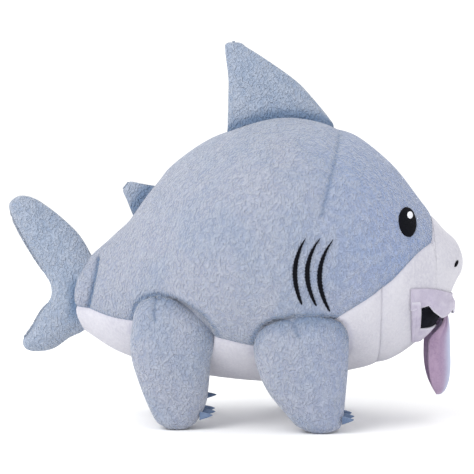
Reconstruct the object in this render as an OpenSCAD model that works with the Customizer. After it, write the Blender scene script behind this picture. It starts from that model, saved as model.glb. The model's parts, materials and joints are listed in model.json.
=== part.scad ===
// Plush shark on four stuffed legs.
// +X runs to the nose, +Y to the shark's left and +Z up; the soles stand on z = 0.

/* [Body] */
// Length of the stuffed body, tail seam to nose
body_l = 284; // [230:1:345]
// Greatest width of the body
body_w = 154; // [125:1:190]
// Greatest height of the body, belly to back
body_h = 194; // [160:1:235]
// Height of the belly above the ground
belly_z = 29; // [24:1:35]
// Tail end of the body, measured from the origin
tail_x = -119; // [-145:0.5:-98]
// Thickness of the plush and fleece, pile included
cloth_t = 2; // [1.5:0.1:2.6]
// Width of the seam line between two panels
seam_gap = 0.3; // [0.2:0.05:0.5]
// Room between the cloth and the stuffing
stuffing_gap = 1.3; // [1.1:0.1:2]
// Clearance between pieces that move on each other
move_gap = 0.8; // [0.6:0.1:1.2]

/* [Dorsal fin] */
// Length of the fin's seam on the back
dorsal_l = 78; // [64:1:94]
// Height of the fin above its seam
dorsal_h = 61; // [45:1:75]
// Half the fin's thickness at its seam
dorsal_t = 9; // [7:0.5:11]
// Rear end of the fin's seam, as a share of the body's length
dorsal_at = 0.4014; // [0.38:0.002:0.42]
// Depth of the fin's fold line below the top of the back
dorsal_sink = 8; // [6:0.5:9]

/* [Rear fin] */
// Length of the small fin's seam
rear_fin_l = 30; // [24:1:36]
// Height of the small fin
rear_fin_h = 18; // [13:1:24]
// Half its thickness
rear_fin_t = 4; // [3:0.5:5]
// Lower end of its seam, as a share of the body's length
rear_fin_at = 0.155; // [0.13:0.001:0.19]
// Depth of its fold line below the back
rear_fin_sink = 7.2; // [6:0.1:8]

/* [Tail fin] */
// Distance of the swing line from the end of the body
swing_in = 9; // [7:0.5:11]
// Half the tail fin's thickness
tail_t = 8; // [6.5:0.1:9.6]
// Size of the tail fin's outline, 1 is the drawn one
tail_scale = 1; // [0.8:0.01:1.2]

/* [Legs] */
// Hip of the front legs, as a share of the body's length
front_hip_at = 0.581; // [0.56:0.001:0.6]
// Hip of the front legs, height
front_hip_z = 50; // [42:0.5:60]
// Depth of a front leg's pocket in the side of the body
front_sink = 36.8; // [31:0.2:42]
// Thickness of a front leg, inner to outer face
front_leg_t = 32; // [26:1:39]
// Radius that the top of a front leg turns in
front_swing_r = 40; // [34:0.5:48]
// Hip of the rear legs, as a share of the body's length
rear_hip_at = 0.257; // [0.24:0.001:0.27]
// Hip of the rear legs, height
rear_hip_z = 64; // [54:0.5:76]
// Depth of a rear leg's pocket in the side of the body
rear_sink = 29.1; // [24.1:0.2:34.1]
// Thickness of a rear leg, inner to outer face
rear_leg_t = 34; // [28:1:41]
// Radius that the top of a rear leg turns in
rear_swing_r = 38.5; // [32:0.5:46]
// Thickness of the felt claws
claw_t = 2; // [1:0.1:2.5]
// Distance between claws
claw_step = 8; // [6:0.5:9]

/* [Face] */
// Length of an eye
eye_l = 22; // [16:0.5:27]
// Width of an eye
eye_w = 12; // [8:0.5:14.5]
// Centre of the eyes, as a share of the body's length
eye_at = 0.842; // [0.82:0.002:0.86]
// Centre of the eyes, as a share of the body's height
eye_up = 0.614; // [0.58:0.002:0.63]
// Thickness of the embroidery
thread_t = 0.8; // [0.5:0.1:1.2]
// Width of a gill stitch
gill_w = 3.2; // [2:0.2:4]
// Thickness of the felt of the mouth
felt_t = 1.5; // [1:0.1:2]
// Depth of a tooth
tooth_h = 6; // [4:0.5:7.5]
// Length of the tongue
tongue_l = 58; // [45:1:70]
// Thickness of one layer of the tongue
tongue_t = 1.6; // [1:0.1:2]
// Fold of the tongue, ahead of the mouth behind it
tongue_out = 4.7; // [4:0.1:5.4]
// Fold of the tongue, below the tips of the teeth
tongue_drop = 1; // [0.5:0.5:3]

/* [Hidden] */

blue = [0.69, 0.73, 0.80];
pale = [0.86, 0.85, 0.88];
lilac = [0.80, 0.77, 0.86];
ink = [0.09, 0.10, 0.14];
pink = [0.69, 0.60, 0.71];
steel = [0.45, 0.52, 0.63];
wadding = [0.95, 0.95, 0.93];

// Body stations: place along the length, top, bottom, half width (as shares of the body's
// size) and the turn at which the blue plush meets the pale fleece, from the back down.
stations = [
  [0.000, 0.34, 0.27, 0.04, 108], [0.014, 0.41, 0.22, 0.10, 108],
  [0.049, 0.48, 0.17, 0.18, 110], [0.116, 0.57, 0.11, 0.35, 114],
  [0.208, 0.75, 0.065, 0.58, 121], [0.350, 0.91, 0.02, 0.86, 127],
  [0.525, 1.00, 0.00, 1.00, 133], [0.683, 0.955, 0.035, 0.985, 117],
  [0.806, 0.83, 0.08, 0.86, 96.5], [0.895, 0.67, 0.17, 0.67, 64.5],
  [0.945, 0.58, 0.27, 0.52, 36], [0.978, 0.535, 0.37, 0.34, 25],
  [0.994, 0.49, 0.41, 0.17, 20], [1.000, 0.455, 0.445, 0.02, 10]
];
last = len(stations) - 1;
neck_s = 7.75;       // ring where the belly fleece meets the face
front_s = 9.25;      // ring where the blue plush ends at the side of the snout
front_bow = 0.12;    // how far the blue plush runs on over the top of the snout
round_fn = 96;
claw_gap = 0.5;      // room between a claw's root and the plush

// A place along the body and a height, from shares of the body's length and height.
function along(share) = tail_x + body_l * share;
function height(share) = belly_z + body_h * share;

// ---- shapes -------------------------------------------------------------------------

// Smooth curve through a list of equal-length rows, read at a fractional index.
function row_at(rows, i) = rows[min(max(i, 0), len(rows) - 1)];
function smooth(rows, s) =
  let (i = min(floor(s), len(rows) - 2), t = s - i, a = row_at(rows, i - 1), b = row_at(rows, i),
       c = row_at(rows, i + 1), d = row_at(rows, i + 2))
  0.5 * (2 * b + (c - a) * t + (2 * a - 5 * b + 4 * c - d) * t * t
         + (3 * b - a - 3 * c + d) * t * t * t);

function flat(rows) = [for (row = rows) each row];

// Triangles of a grid of points with nc columns; turned = true swaps their side.
function grid_faces(nr, nc, at, turned) = [
  for (i = [0:nr - 2], j = [0:nc - 2])
    let (a = at + i * nc + j, b = a + 1, c = a + nc + 1, d = a + nc)
    each (turned ? [[a, b, c], [a, c, d]] : [[a, c, b], [a, d, c]])
];

// Closed solid between two grids of the same size: an outer face, an inner face and four walls.
module slab(outer, inner, turned = true) {
  nr = len(outer);
  nc = len(outer[0]);
  n = nr * nc;
  rim = concat([for (j = [0:nc - 2]) j], [for (i = [0:nr - 2]) i * nc + nc - 1],
               [for (j = [nc - 1:-1:1]) (nr - 1) * nc + j], [for (i = [nr - 1:-1:1]) i * nc]);
  m = len(rim);
  walls = [for (k = [0:m - 1])
    let (a = rim[k], b = rim[(k + 1) % m])
    each (turned ? [[b, a, a + n], [b, a + n, b + n]] : [[a, b, a + n], [b, b + n, a + n]])];
  polyhedron(points = concat(flat(outer), flat(inner)),
             faces = concat(grid_faces(nr, nc, 0, turned), grid_faces(nr, nc, n, !turned), walls),
             convexity = 8);
}

// Closed solid through a stack of rings with the same number of points, capped at both ends.
module loft(rings, turned = true) {
  nr = len(rings);
  m = len(rings[0]);
  sides = [for (i = [0:nr - 2], j = [0:m - 1])
    let (a = i * m + j, b = i * m + (j + 1) % m, c = b + m, d = a + m)
    each (turned ? [[a, b, c], [a, c, d]] : [[a, c, b], [a, d, c]])];
  first_cap = [for (j = [0:m - 1]) turned ? m - 1 - j : j];
  last_cap = [for (j = [0:m - 1]) (nr - 1) * m + (turned ? j : m - 1 - j)];
  polyhedron(points = flat(rings), faces = concat(sides, [first_cap], [last_cap]), convexity = 8);
}

module mirrored(on) {
  if (on) mirror([0, 1, 0]) children();
  else children();
}

// ---- body surface -------------------------------------------------------------------

body_mid = [tail_x + body_l / 2, 0, belly_z + body_h / 2];

// Share of the full size left after an inset all round.
function shrink(inset) = [1 - 2 * inset / body_l, 1 - 2 * inset / body_w, 1 - 2 * inset / body_h];

// Point of the body at ring s and turn a: 0 is the back, 90 the shark's right side, 180 the belly.
function body_raw(s, a) =
  let (q = smooth(stations, s), high = belly_z + body_h * (q[1] + q[2]) / 2,
       tall = body_h * (q[1] - q[2]) / 2, wide = body_w / 2 * q[3])
  [tail_x + body_l * q[0], -wide * sin(a), high + tall * cos(a)];
function body_pt(s, a, inset) =
  let (p = body_raw(s, a), k = shrink(inset), d = p - body_mid)
  body_mid + [d[0] * k[0], d[1] * k[1], d[2] * k[2]];

// Ring at a distance x along the body, found by halving.
function ring_at(x, low = 0, high = last, n = 18) =
  n == 0 ? (low + high) / 2
  : let (mid = (low + high) / 2, here = tail_x + body_l * smooth(stations, mid)[0])
    here < x ? ring_at(x, mid, high, n - 1) : ring_at(x, low, mid, n - 1);

// Point on the shark's right side at a distance along the body and a height.
function side_pt(x, z, out) =
  let (s = ring_at(x), q = smooth(stations, s), high = belly_z + body_h * (q[1] + q[2]) / 2,
       tall = body_h * (q[1] - q[2]) / 2, rise = min(max((z - high) / tall, -1), 1))
  body_pt(s, acos(rise), -out);

function seam_turn(s) = smooth(stations, s)[4];

// Height of the back and of the body's middle line, and half width, at a distance along the body.
function back_z(x) = height(smooth(stations, ring_at(x))[1]);
function middle_z(x) = let (q = smooth(stations, ring_at(x))) height((q[1] + q[2]) / 2);

function side_y(x) = body_w / 2 * smooth(stations, ring_at(x))[3];

// Fold lines of the fins and the tail, and the hips of the legs.
dorsal_x = along(dorsal_at);
dorsal_z = belly_z + body_h - dorsal_sink;
rear_fin_x = along(rear_fin_at);
rear_fin_z = back_z(rear_fin_x) - rear_fin_sink;
rear_fin_run = 0.058 * body_l;
rear_fin_slope = atan2(back_z(rear_fin_x + rear_fin_run) - back_z(rear_fin_x), rear_fin_run);
swing_x = tail_x + swing_in;
tail_z = middle_z(swing_x);
front_hip_x = along(front_hip_at);
front_in = side_y(front_hip_x) - front_sink;
rear_hip_x = along(rear_hip_at);
rear_in = side_y(rear_hip_x) - rear_sink;

// Shares from 0 to 1 in n steps.
function steps(n) = [for (i = [0:n]) i / n];

// Rings of the panels: the seam's own rings are the same on both sides of it.
belly_rings = [for (t = steps(22)) neck_s * t];
cheek_rings = [for (t = steps(5)) neck_s + (front_s - neck_s) * t];
back_rings = concat(belly_rings, [for (i = [1:len(cheek_rings) - 1]) cheek_rings[i]]);

// Seam half width as a turn, so that the line keeps its width round the body.
function seam_half(s) = seam_gap / 2 * 57.3 / (body_w / 2 * smooth(stations, s)[3] + seam_gap);

back_cols = 9;
function back_row(s, inset) = [
  for (v = steps(back_cols))
    let (side = (s - neck_s) / (front_s - neck_s), bow = front_bow * max(0, side) * (1 - v * v),
         middle = asin(min(1, seam_gap / 2 / (body_w / 2 * smooth(stations, s + bow)[3]))))
    body_pt(s + bow, middle + (seam_turn(s) - seam_half(s) - middle) * v, inset)
];

// Blue plush of the right side; the left one is its mirror image.
module back_panel(on_left) {
  color(blue) mirrored(on_left) difference() {
    slab([for (s = back_rings) back_row(s, 0)], [for (s = back_rings) back_row(s, cloth_t)],
         turned = false);
    leg_pockets();
    fin_grooves();
  }
}

belly_cols = 12;
function belly_row(s, inset) =
  let (start = seam_turn(s) + seam_half(s))
  [for (v = steps(belly_cols)) body_pt(s, start + (360 - 2 * start) * v, inset)];

module belly_panel() {
  rings = [for (s = belly_rings) s == neck_s ? s - 0.004 : s];
  color(pale) difference() {
    slab([for (s = rings) belly_row(s, 0)], [for (s = rings) belly_row(s, cloth_t)],
         turned = false);
    leg_pockets();
    fin_grooves();
  }
}

// Fleece of the face: it starts below the seam, and runs over the snout past the blue plush.
face_cols = 9;
snout_rings = [for (t = [0.15, 0.4, 0.7, 1]) front_s + front_bow * t];
nose_rings = [9.6, 10, 10.5, 11, 11.5, 12, 12.5, last];
face_rings = concat([neck_s + 0.004], [for (i = [1:len(cheek_rings) - 1]) cheek_rings[i]],
                    snout_rings, nose_rings);
function face_start(s) =
  let (edge = seam_turn(front_s), past = min(1, max(0, (s - front_s) / front_bow)))
  s <= front_s ? seam_turn(s) + seam_half(s)
  : max(edge * sqrt(1 - past) + seam_half(s),
        asin(min(1, seam_gap / 2 / (body_w / 2 * smooth(stations, s)[3] + seam_gap))));
function face_row(s, inset) =
  let (from = face_start(s), middle = asin(min(1, seam_gap / 2 /
       (body_w / 2 * smooth(stations, s)[3] + seam_gap))))
  [for (v = steps(face_cols)) body_pt(s, from + (180 - middle - from) * v, inset)];
module face_panel(on_left) {
  color(pale) mirrored(on_left)
    slab([for (s = face_rings) face_row(s, 0)], [for (s = face_rings) face_row(s, cloth_t)],
         turned = false);
}

stuffing_cols = 24;
module body_stuffing() {
  inset = cloth_t + stuffing_gap;
  rings = concat([for (t = steps(18)) 0.6 + (front_s - 0.6) * t], [9.6, 10, 10.5, 11, 12, 12.9]);
  color(wadding) difference() {
    loft([for (s = rings) [for (j = [0:stuffing_cols - 1])
      body_pt(s, 360 * j / stuffing_cols, inset)]], turned = false);
    leg_pockets();
    fin_grooves();
  }
}

// Round pockets in the sides of the body, where the tops of the legs turn.
module leg_pocket(hip_x, hip_z, inner, r) {
  for (side = [-1, 1])
    translate([hip_x, side * (inner - move_gap), hip_z]) rotate([side * -90, 0, 0])
      cylinder(r = r + move_gap, h = body_w, $fn = round_fn);
}
module leg_pockets() {
  leg_pocket(front_hip_x, front_hip_z, front_in, front_swing_r);
  leg_pocket(rear_hip_x, rear_hip_z, rear_in, rear_swing_r);
}

// Groove that a fin's rounded root turns in: a round channel that flares at its mouth.
module fin_groove(length, half_t, flare) {
  r = half_t + move_gap;
  rise = body_h / 6;
  rotate([90, 0, 90]) translate([0, 0, -move_gap]) linear_extrude(length + 2 * move_gap) {
    circle(r = r, $fn = round_fn);
    polygon([[-r, 0], [r, 0], [r + rise * tan(flare), rise], [-r - rise * tan(flare), rise]]);
  }
}
module fin_grooves() {
  translate([dorsal_x, 0, dorsal_z]) fin_groove(dorsal_l, dorsal_t, 18);
  translate([rear_fin_x, 0, rear_fin_z]) rotate([0, -rear_fin_slope, 0])
    fin_groove(rear_fin_l, rear_fin_t, 24);
  translate([swing_x, 0, 0]) cylinder(r = tail_t + move_gap, h = body_h, $fn = round_fn);
  translate([swing_x - body_l, -body_w / 2, 0]) cube([body_l, body_w, body_h]);
}

// ---- fins ---------------------------------------------------------------------------

// Levels of a fin: height, rear edge, front edge and thickness, as shares of its size.
dorsal_levels = [
  [0, 0, 1, 1], [0.07, 0, 0.97, 1], [0.2, 0.003, 0.89, 0.95], [0.35, 0.005, 0.79, 0.87],
  [0.5, 0.008, 0.68, 0.78], [0.65, 0, 0.53, 0.66], [0.84, -0.02, 0.31, 0.45],
  [0.96, -0.025, 0.155, 0.26], [1, 0.01, 0.1, 0.1]
];
rear_fin_levels = [
  [0, 0, 1, 1], [0.3, 0.1, 0.89, 0.9], [0.6, 0.21, 0.79, 0.75], [0.85, 0.31, 0.68, 0.5],
  [1, 0.38, 0.52, 0.2]
];
// The root below the fold line: share of the half thickness, downwards and sideways.
root_levels = [[-0.92, 0.3], [-0.65, 0.72]];

function fin_rows(levels, length, height, half_t, from, to, cols, inset) =
  let (all = concat(
         [for (r = root_levels) [half_t * r[0], 0.04 * length, 0.96 * length, half_t * r[1]]],
         [for (v = levels) [height * v[0], length * v[1], length * v[2], half_t * v[3]]]),
       k = 1 - inset / half_t, g = 1 - 2 * inset / height, high = height / 3)
  [for (v = all) [for (j = [0:cols])
    let (a = from + (to - from) * j / cols, mid = (v[1] + v[2]) / 2, half = (v[2] - v[1]) / 2)
    [mid + (half - min(inset, half * 0.6)) * cos(a), v[3] * k * sin(a),
     high + (v[0] - high) * g]]];

// One side of a fin: plush from the front edge round to the rear edge.
fin_cols = 8;
edge_turn = 4;
module fin_side(levels, length, height, half_t, shell_t, on_left) {
  mirrored(on_left)
    slab(fin_rows(levels, length, height, half_t, -edge_turn, edge_turn - 180, fin_cols, 0),
         fin_rows(levels, length, height, half_t, -edge_turn, edge_turn - 180, fin_cols, shell_t));
}
module fin_filling(levels, length, height, half_t, inset) {
  rows = fin_rows(levels, length, height, half_t, 0, 360, 2 * fin_cols, inset);
  loft([for (row = rows) [for (j = [0:2 * fin_cols - 1]) row[j]]], turned = false);
}

module dorsal_place() {
  translate([dorsal_x, 0, dorsal_z]) children();
}
module dorsal_fin(on_left) {
  color(blue) dorsal_place()
    fin_side(dorsal_levels, dorsal_l, dorsal_h, dorsal_t, cloth_t, on_left);
}
module dorsal_fin_stuffing() {
  color(wadding) dorsal_place()
    fin_filling(dorsal_levels, dorsal_l, dorsal_h, dorsal_t, cloth_t + stuffing_gap / 2);
}

module rear_fin_place() {
  translate([rear_fin_x, 0, rear_fin_z]) rotate([0, -rear_fin_slope, 0]) children();
}
module rear_fin(on_left) {
  color(blue) rear_fin_place()
    fin_side(rear_fin_levels, rear_fin_l, rear_fin_h, rear_fin_t, cloth_t / 2, on_left);
}
module rear_fin_stuffing() {
  color(wadding) rear_fin_place()
    fin_filling(rear_fin_levels, rear_fin_l, rear_fin_h, rear_fin_t, cloth_t / 2 + 0.5);
}

// Outline of the tail fin round its swing line: upper lobe, notch and lower lobe. The points
// ahead of the swing line are its root, drawn for a fin tail_drawn_t thick.
tail_drawn_t = 8;
tail_outline = [
  [7, 22], [2, 34], [-5, 45], [-15, 55], [-26, 64], [-37, 71], [-47, 73], [-54, 69], [-55.2, 63],
  [-50, 50], [-40, 32], [-30, 16], [-26, 9], [-25, 2], [-27, -4], [-34, -13], [-41, -25],
  [-46, -33], [-44, -39], [-36, -41], [-24, -39], [-12, -31], [-2, -26], [6, -18], [7.5, 2]
];
tail_centre = [-6, 4];
// Ring of the tail fin at a turn from its edge (0) to the middle of its side (90).
function tail_ring(a, inset) =
  let (k = 1 - inset / tail_t)
  [for (p = tail_outline)
    let (along_k = p[0] > 0 ? tail_t / tail_drawn_t : tail_scale,
         at = [p[0] * along_k, p[1] * tail_scale], d = at - tail_centre,
         q = tail_centre + d * (1 - inset / norm(d)) * cos(a))
    [swing_x + q[0], -tail_t * k * sin(a), tail_z + q[1]]];
tail_turns = [4, 22, 42, 62, 82];
module tail_fin(on_left) {
  inner = [for (i = [len(tail_turns) - 1:-1:0]) tail_ring(tail_turns[i], cloth_t)];
  outer = [for (a = tail_turns) tail_ring(a, 0)];
  color(blue) mirrored(on_left) loft(concat(inner, outer), turned = false);
}
module tail_fin_stuffing() {
  color(wadding)
    loft([for (a = [-78, -50, -20, 0, 20, 50, 78]) tail_ring(a, cloth_t + stuffing_gap / 2)],
         turned = false);
}

// ---- legs ---------------------------------------------------------------------------

// Levels of a leg round its hip: height (as a share of the hip's height below it, and of the
// swing radius above it), rear and front edge as shares of the swing radius, and the inner and
// outer faces as shares of the leg's thickness. The first two make the flat sole.
front_levels = [
  [-1, 0.275, 0.325, 0.45, 0.5], [-1, 0.05, 0.575, 0.15, 0.8], [-0.92, -0.15, 0.725, 0.06, 0.9],
  [-0.74, -0.325, 0.775, 0.02, 0.95], [-0.44, -0.625, 0.812, 0, 1], [-0.1, -0.825, 0.85, 0, 1],
  [0.25, -0.887, 0.863, 0, 0.98], [0.5, -0.8, 0.825, 0.02, 0.93],
  [0.675, -0.625, 0.713, 0.08, 0.87], [0.775, -0.325, 0.5, 0.2, 0.78], [0.812, 0, 0.2, 0.4, 0.6]
];
rear_levels = [
  [-1, 0.052, 0.104, 0.45, 0.5], [-1, -0.13, 0.364, 0.2, 0.75], [-0.922, -0.312, 0.494, 0.1, 0.86],
  [-0.719, -0.494, 0.701, 0.05, 0.93], [-0.5, -0.636, 0.727, 0.02, 0.97],
  [-0.25, -0.766, 0.74, 0, 1], [-0.047, -0.805, 0.831, 0, 1], [0.208, -0.779, 0.805, 0, 0.97],
  [0.494, -0.727, 0.545, 0.04, 0.91], [0.701, -0.597, 0.26, 0.12, 0.84],
  [0.805, -0.442, 0, 0.25, 0.74], [0.831, -0.312, -0.156, 0.4, 0.6]
];
leg_cols = 8;
leg_top = 0.82;      // top of a leg above its hip, as a share of the swing radius
leg_square = 0.85;   // power that squares a leg's section up from an ellipse

// One row of a leg, from turn start to turn end: 0 is its front edge and 90 its outer face.
function leg_z(v, hip_z, r) = v[0] * (v[0] < 0 ? hip_z : r) + hip_z;
function leg_row(v, hip_x, hip_z, r, face, thick, inset, from, to, cols) =
  let (high = hip_z + leg_top * r, g = 1 - 2 * inset / high,
       mid_x = hip_x + r * (v[1] + v[2]) / 2, half_x = r * (v[2] - v[1]) / 2,
       mid_y = face + thick * (v[3] + v[4]) / 2, half_y = thick * (v[4] - v[3]) / 2,
       rx = half_x - min(inset, half_x * 0.6), ry = half_y - min(inset, half_y * 0.6))
  [for (j = [0:cols])
    let (a = from + (to - from) * j / cols, c = cos(a), s = sin(a))
    [mid_x + rx * sign(c) * pow(abs(c), leg_square), -(mid_y + ry * sign(s) * pow(abs(s), leg_square)),
     high / 2 + (leg_z(v, hip_z, r) - high / 2) * g]];

module leg_half(levels, hip_x, hip_z, r, face, thick, on_outside) {
  turn = on_outside ? 3 : 183;
  outer = [for (v = levels)
    leg_row(v, hip_x, hip_z, r, face, thick, 0, turn, turn + 174, leg_cols)];
  inner = [for (v = levels)
    leg_row(v, hip_x, hip_z, r, face, thick, cloth_t, turn, turn + 174, leg_cols)];
  slab(outer, inner);
}
module leg_filling(levels, hip_x, hip_z, r, face, thick) {
  loft([for (v = levels)
    let (row = leg_row(v, hip_x, hip_z, r, face, thick, cloth_t + stuffing_gap / 2, 0, 360, 16))
    [for (j = [0:15]) row[j]]]);
}

// Row of a leg's levels at a height, as the levels give it.
function level_at(levels, z, i = 0) =
  i >= len(levels) - 2 || z < levels[i + 1][0]
  ? let (a = levels[i], b = levels[i + 1]) a + (b - a) * (z - a[0]) / max(b[0] - a[0], 0.01)
  : level_at(levels, z, i + 1);

// Front surface of a leg, ahead of its hip, at a height above the ground and a distance from the
// middle of the leg's thickness.
function leg_front(levels, hip_z, r, thick, z, off) =
  let (v = level_at(levels, z / hip_z - 1), half = r * (v[2] - v[1]) / 2,
       share = (off + thick * (0.5 - (v[3] + v[4]) / 2)) / (thick * (v[4] - v[3]) / 2))
  r * (v[1] + v[2]) / 2 + half * pow(cos(asin(pow(min(abs(share), 1), 1 / leg_square))), leg_square);

// Flat felt claws on the front of a foot, from the innermost out: each is a triangle that
// points forwards, with its root on the leg's surface.
module claws(levels, hip_x, hip_z, r, face, thick, heights, lengths) {
  for (i = [0:len(lengths) - 1])
    let (off = claw_step * (i - 1), from = claw_gap + max([for (dz = [-2.5, 3], dy = [-1, 1])
           leg_front(levels, hip_z, r, thick, heights[i] + dz, off + dy * claw_t / 2)]))
    translate([hip_x + from, -(face + thick / 2 + off) + claw_t / 2, heights[i]])
      rotate([90, 0, 0])
        linear_extrude(claw_t) polygon([[0, 3], [lengths[i], 0.5], [0, -2.5]]);
}

module front_leg(on_left, on_outside) {
  color(blue) mirrored(on_left)
    leg_half(front_levels, front_hip_x, front_hip_z, front_swing_r, front_in, front_leg_t, on_outside);
}
module front_leg_stuffing(on_left) {
  color(wadding) mirrored(on_left)
    leg_filling(front_levels, front_hip_x, front_hip_z, front_swing_r, front_in, front_leg_t);
}
module front_leg_claws(on_left) {
  color(steel) mirrored(on_left)
    claws(front_levels, front_hip_x, front_hip_z, front_swing_r, front_in, front_leg_t,
          [13, 10.5, 8], [5, 6.5, 6]);
}
module rear_leg(on_left, on_outside) {
  color(blue) mirrored(on_left)
    leg_half(rear_levels, rear_hip_x, rear_hip_z, rear_swing_r, rear_in, rear_leg_t, on_outside);
}
module rear_leg_stuffing(on_left) {
  color(wadding) mirrored(on_left)
    leg_filling(rear_levels, rear_hip_x, rear_hip_z, rear_swing_r, rear_in, rear_leg_t);
}
module rear_leg_claws(on_left) {
  color(steel) mirrored(on_left)
    claws(rear_levels, rear_hip_x, rear_hip_z, rear_swing_r, rear_in, rear_leg_t,
          [15, 11.5, 8], [6.5, 7.5, 6]);
}

// ---- face ---------------------------------------------------------------------------

// Muzzle at a few heights, which the mouth's felt follows: height, depth ahead of the corners of
// the mouth and half width there, as shares of the body's height, length and half width.
muzzle = [
  [0.1495, 0.0141, 0.247], [0.1907, 0.0423, 0.442], [0.2216, 0.0599, 0.532],
  [0.2629, 0.0757, 0.617], [0.3041, 0.0915, 0.675], [0.3505, 0.1056, 0.714]
];
mouth_x = along(0.8662);
function muzzle_at(z, i = 0) =
  let (a = muzzle[i], b = muzzle[i + 1], share = (z - belly_z) / body_h)
  i >= len(muzzle) - 2 || share < b[0] ? a + (b - a) * (share - a[0]) / (b[0] - a[0])
  : muzzle_at(z, i + 1);
function muzzle_pt(turn, z, out) =
  let (m = muzzle_at(z))
  [mouth_x + (body_l * m[1] + out) * cos(turn), (body_w / 2 * m[2] + out) * sin(turn), z];

mouth_top = height(0.3454);
lip_low = height(0.2835);
lower_lip_top = height(0.2165);
module mouth_lining() {
  rows = [for (t = steps(5)) height(0.196 + 0.098 * t)];
  turns = [for (t = steps(20)) -78 + 156 * t];
  color(ink) slab([for (z = rows) [for (a = turns) muzzle_pt(a, z, 1)]],
                  [for (z = rows) [for (a = turns) muzzle_pt(a, z, 0.4)]], turned = false);
}

// The upper lip hangs from its top edge as a flap, and its lower edge is cut into teeth.
tooth_turn = 26;
function tooth_edge(turn) =
  let (t = abs(turn) / tooth_turn, saw = abs(t - 2 * floor(t / 2) - 1))
  lip_low - tooth_h * saw;
function flap_pt(turn, z, out) =
  let (t = (mouth_top - z) / (mouth_top - lip_low))
  [mouth_x + (body_l * (0.1056 - 0.0021 * t) + out) * cos(turn),
   (body_w / 2 * (0.708 - 0.0325 * t) + out) * sin(turn), z];
module upper_lip() {
  turns = [for (t = steps(36)) -84 + 168 * t];
  shares = [0, 0.5, 1];
  outer = [for (v = shares) [for (a = turns)
    flap_pt(a, mouth_top + (tooth_edge(a) - mouth_top) * v, 1.1 + felt_t)]];
  inner = [for (v = shares) [for (a = turns)
    flap_pt(a, mouth_top + (tooth_edge(a) - mouth_top) * v, 1.1)]];
  color(lilac) slab(outer, inner);
}
module lower_lip() {
  turns = [for (t = steps(20)) -84 + 168 * t];
  rows = [for (t = steps(3)) lower_lip_top - 0.0567 * body_h * (1 - t)];
  color(lilac) slab([for (z = rows) [for (a = turns) muzzle_pt(a, z, 1.2 + felt_t)]],
                    [for (z = rows) [for (a = turns) muzzle_pt(a, z, 1.2)]], turned = false);
}

// Oval patch of embroidery on the right side of the head.
oval_points = 20;
function oval_ring(x, z, long, wide, tilt, share, out) = [
  for (j = [0:oval_points - 1])
    let (a = 360 * j / oval_points, u = long / 2 * share * cos(a), v = wide / 2 * share * sin(a))
    side_pt(x + u * cos(tilt) - v * sin(tilt), z + u * sin(tilt) + v * cos(tilt), out)
];
module oval(x, z, long, wide, tilt, low, high) {
  loft(concat([for (k = [0.15, 0.6, 1]) oval_ring(x, z, long, wide, tilt, k, low)],
              [for (k = [1, 0.6, 0.15]) oval_ring(x, z, long, wide, tilt, k, high)]),
       turned = false);
}
eye_x = along(eye_at);
eye_z = height(eye_up);
module eye(on_left) {
  color(ink) mirrored(on_left)
    oval(eye_x, eye_z, eye_l, eye_w, 115, 0.3, 0.3 + thread_t);
}
module eye_highlight(on_left) {
  color("white") mirrored(on_left)
    oval(eye_x - 1.5, eye_z + eye_l * 0.25, eye_l * 0.24, eye_w * 0.3, 115, 0.4 + thread_t,
         0.4 + 1.6 * thread_t);
}
module nostrils() {
  color(ink) for (on_left = [false, true])
    mirrored(on_left) oval(along(0.9718), height(0.4536), 5, 1.8, 60, 0.2, 0.2 + thread_t);
}

// Gill stitches: top end, middle and lower end of each, as shares of the length and height.
gills = [
  [[0.586, 0.5625], [0.5616, 0.449], [0.5792, 0.3254]],
  [[0.6215, 0.5625], [0.5915, 0.449], [0.6144, 0.3203]],
  [[0.6532, 0.5574], [0.6215, 0.4337], [0.6479, 0.2997]]
];
gill_steps = 8;
function gill_row(g, t, out) =
  let (p = (1 - t) * (1 - t) * g[0] + 2 * t * (1 - t) * (2 * g[1] - (g[0] + g[2]) / 2)
           + t * t * g[2],
       half = gill_w / 2 * (0.25 + 0.75 * sin(180 * t)))
  [for (e = [-1, 0, 1]) side_pt(along(p[0]) + half * e, height(p[1]), out)];
module gill_stitches(on_left) {
  color(ink) mirrored(on_left) for (g = gills)
    slab([for (t = steps(gill_steps)) gill_row(g, t, 0.2 + thread_t)],
         [for (t = steps(gill_steps)) gill_row(g, t, 0.2)], turned = true);
}

// ---- tongue -------------------------------------------------------------------------

// Levels of the tongue: drop below the fold as a share of its length, then its side edges
// and its front from the fold, and its half width, in millimetres.
tongue_levels = [
  [-0.03, -1, 2.7, 12], [0.02, -1.5, 3.2, 13], [0.1, -4, 4, 17], [0.16, -7, 4.3, 18.5],
  [0.27, -12, 4.5, 19.5], [0.45, -13, 4.8, 20], [0.65, -12.5, 5, 19.5], [0.82, -10.5, 4, 16],
  [0.94, -7.5, 1.5, 10], [1, -5.5, -1.5, 4]
];
tongue_cols = 12;
tongue_z = lip_low - tooth_h - tongue_drop;
tongue_x = mouth_x + body_l * muzzle_at(tongue_z)[1] + tongue_out;
function tongue_row(v, inset) =
  let (depth = max(v[2] - v[1] - inset, 0.5), half = v[3] - inset * 0.4)
  [for (j = [0:tongue_cols])
    let (a = -90 + 180 * j / tongue_cols)
    [tongue_x + v[1] + depth * cos(a), half * sin(a), tongue_z - tongue_l * v[0]]];
module tongue_layer(near, far) {
  slab([for (v = tongue_levels) tongue_row(v, near)], [for (v = tongue_levels) tongue_row(v, far)]);
}
module tongue_front() {
  color(pink) tongue_layer(0, tongue_t);
}
module tongue_back() {
  color(pink) tongue_layer(tongue_t + 0.2, 2 * tongue_t + 0.2);
}

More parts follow.
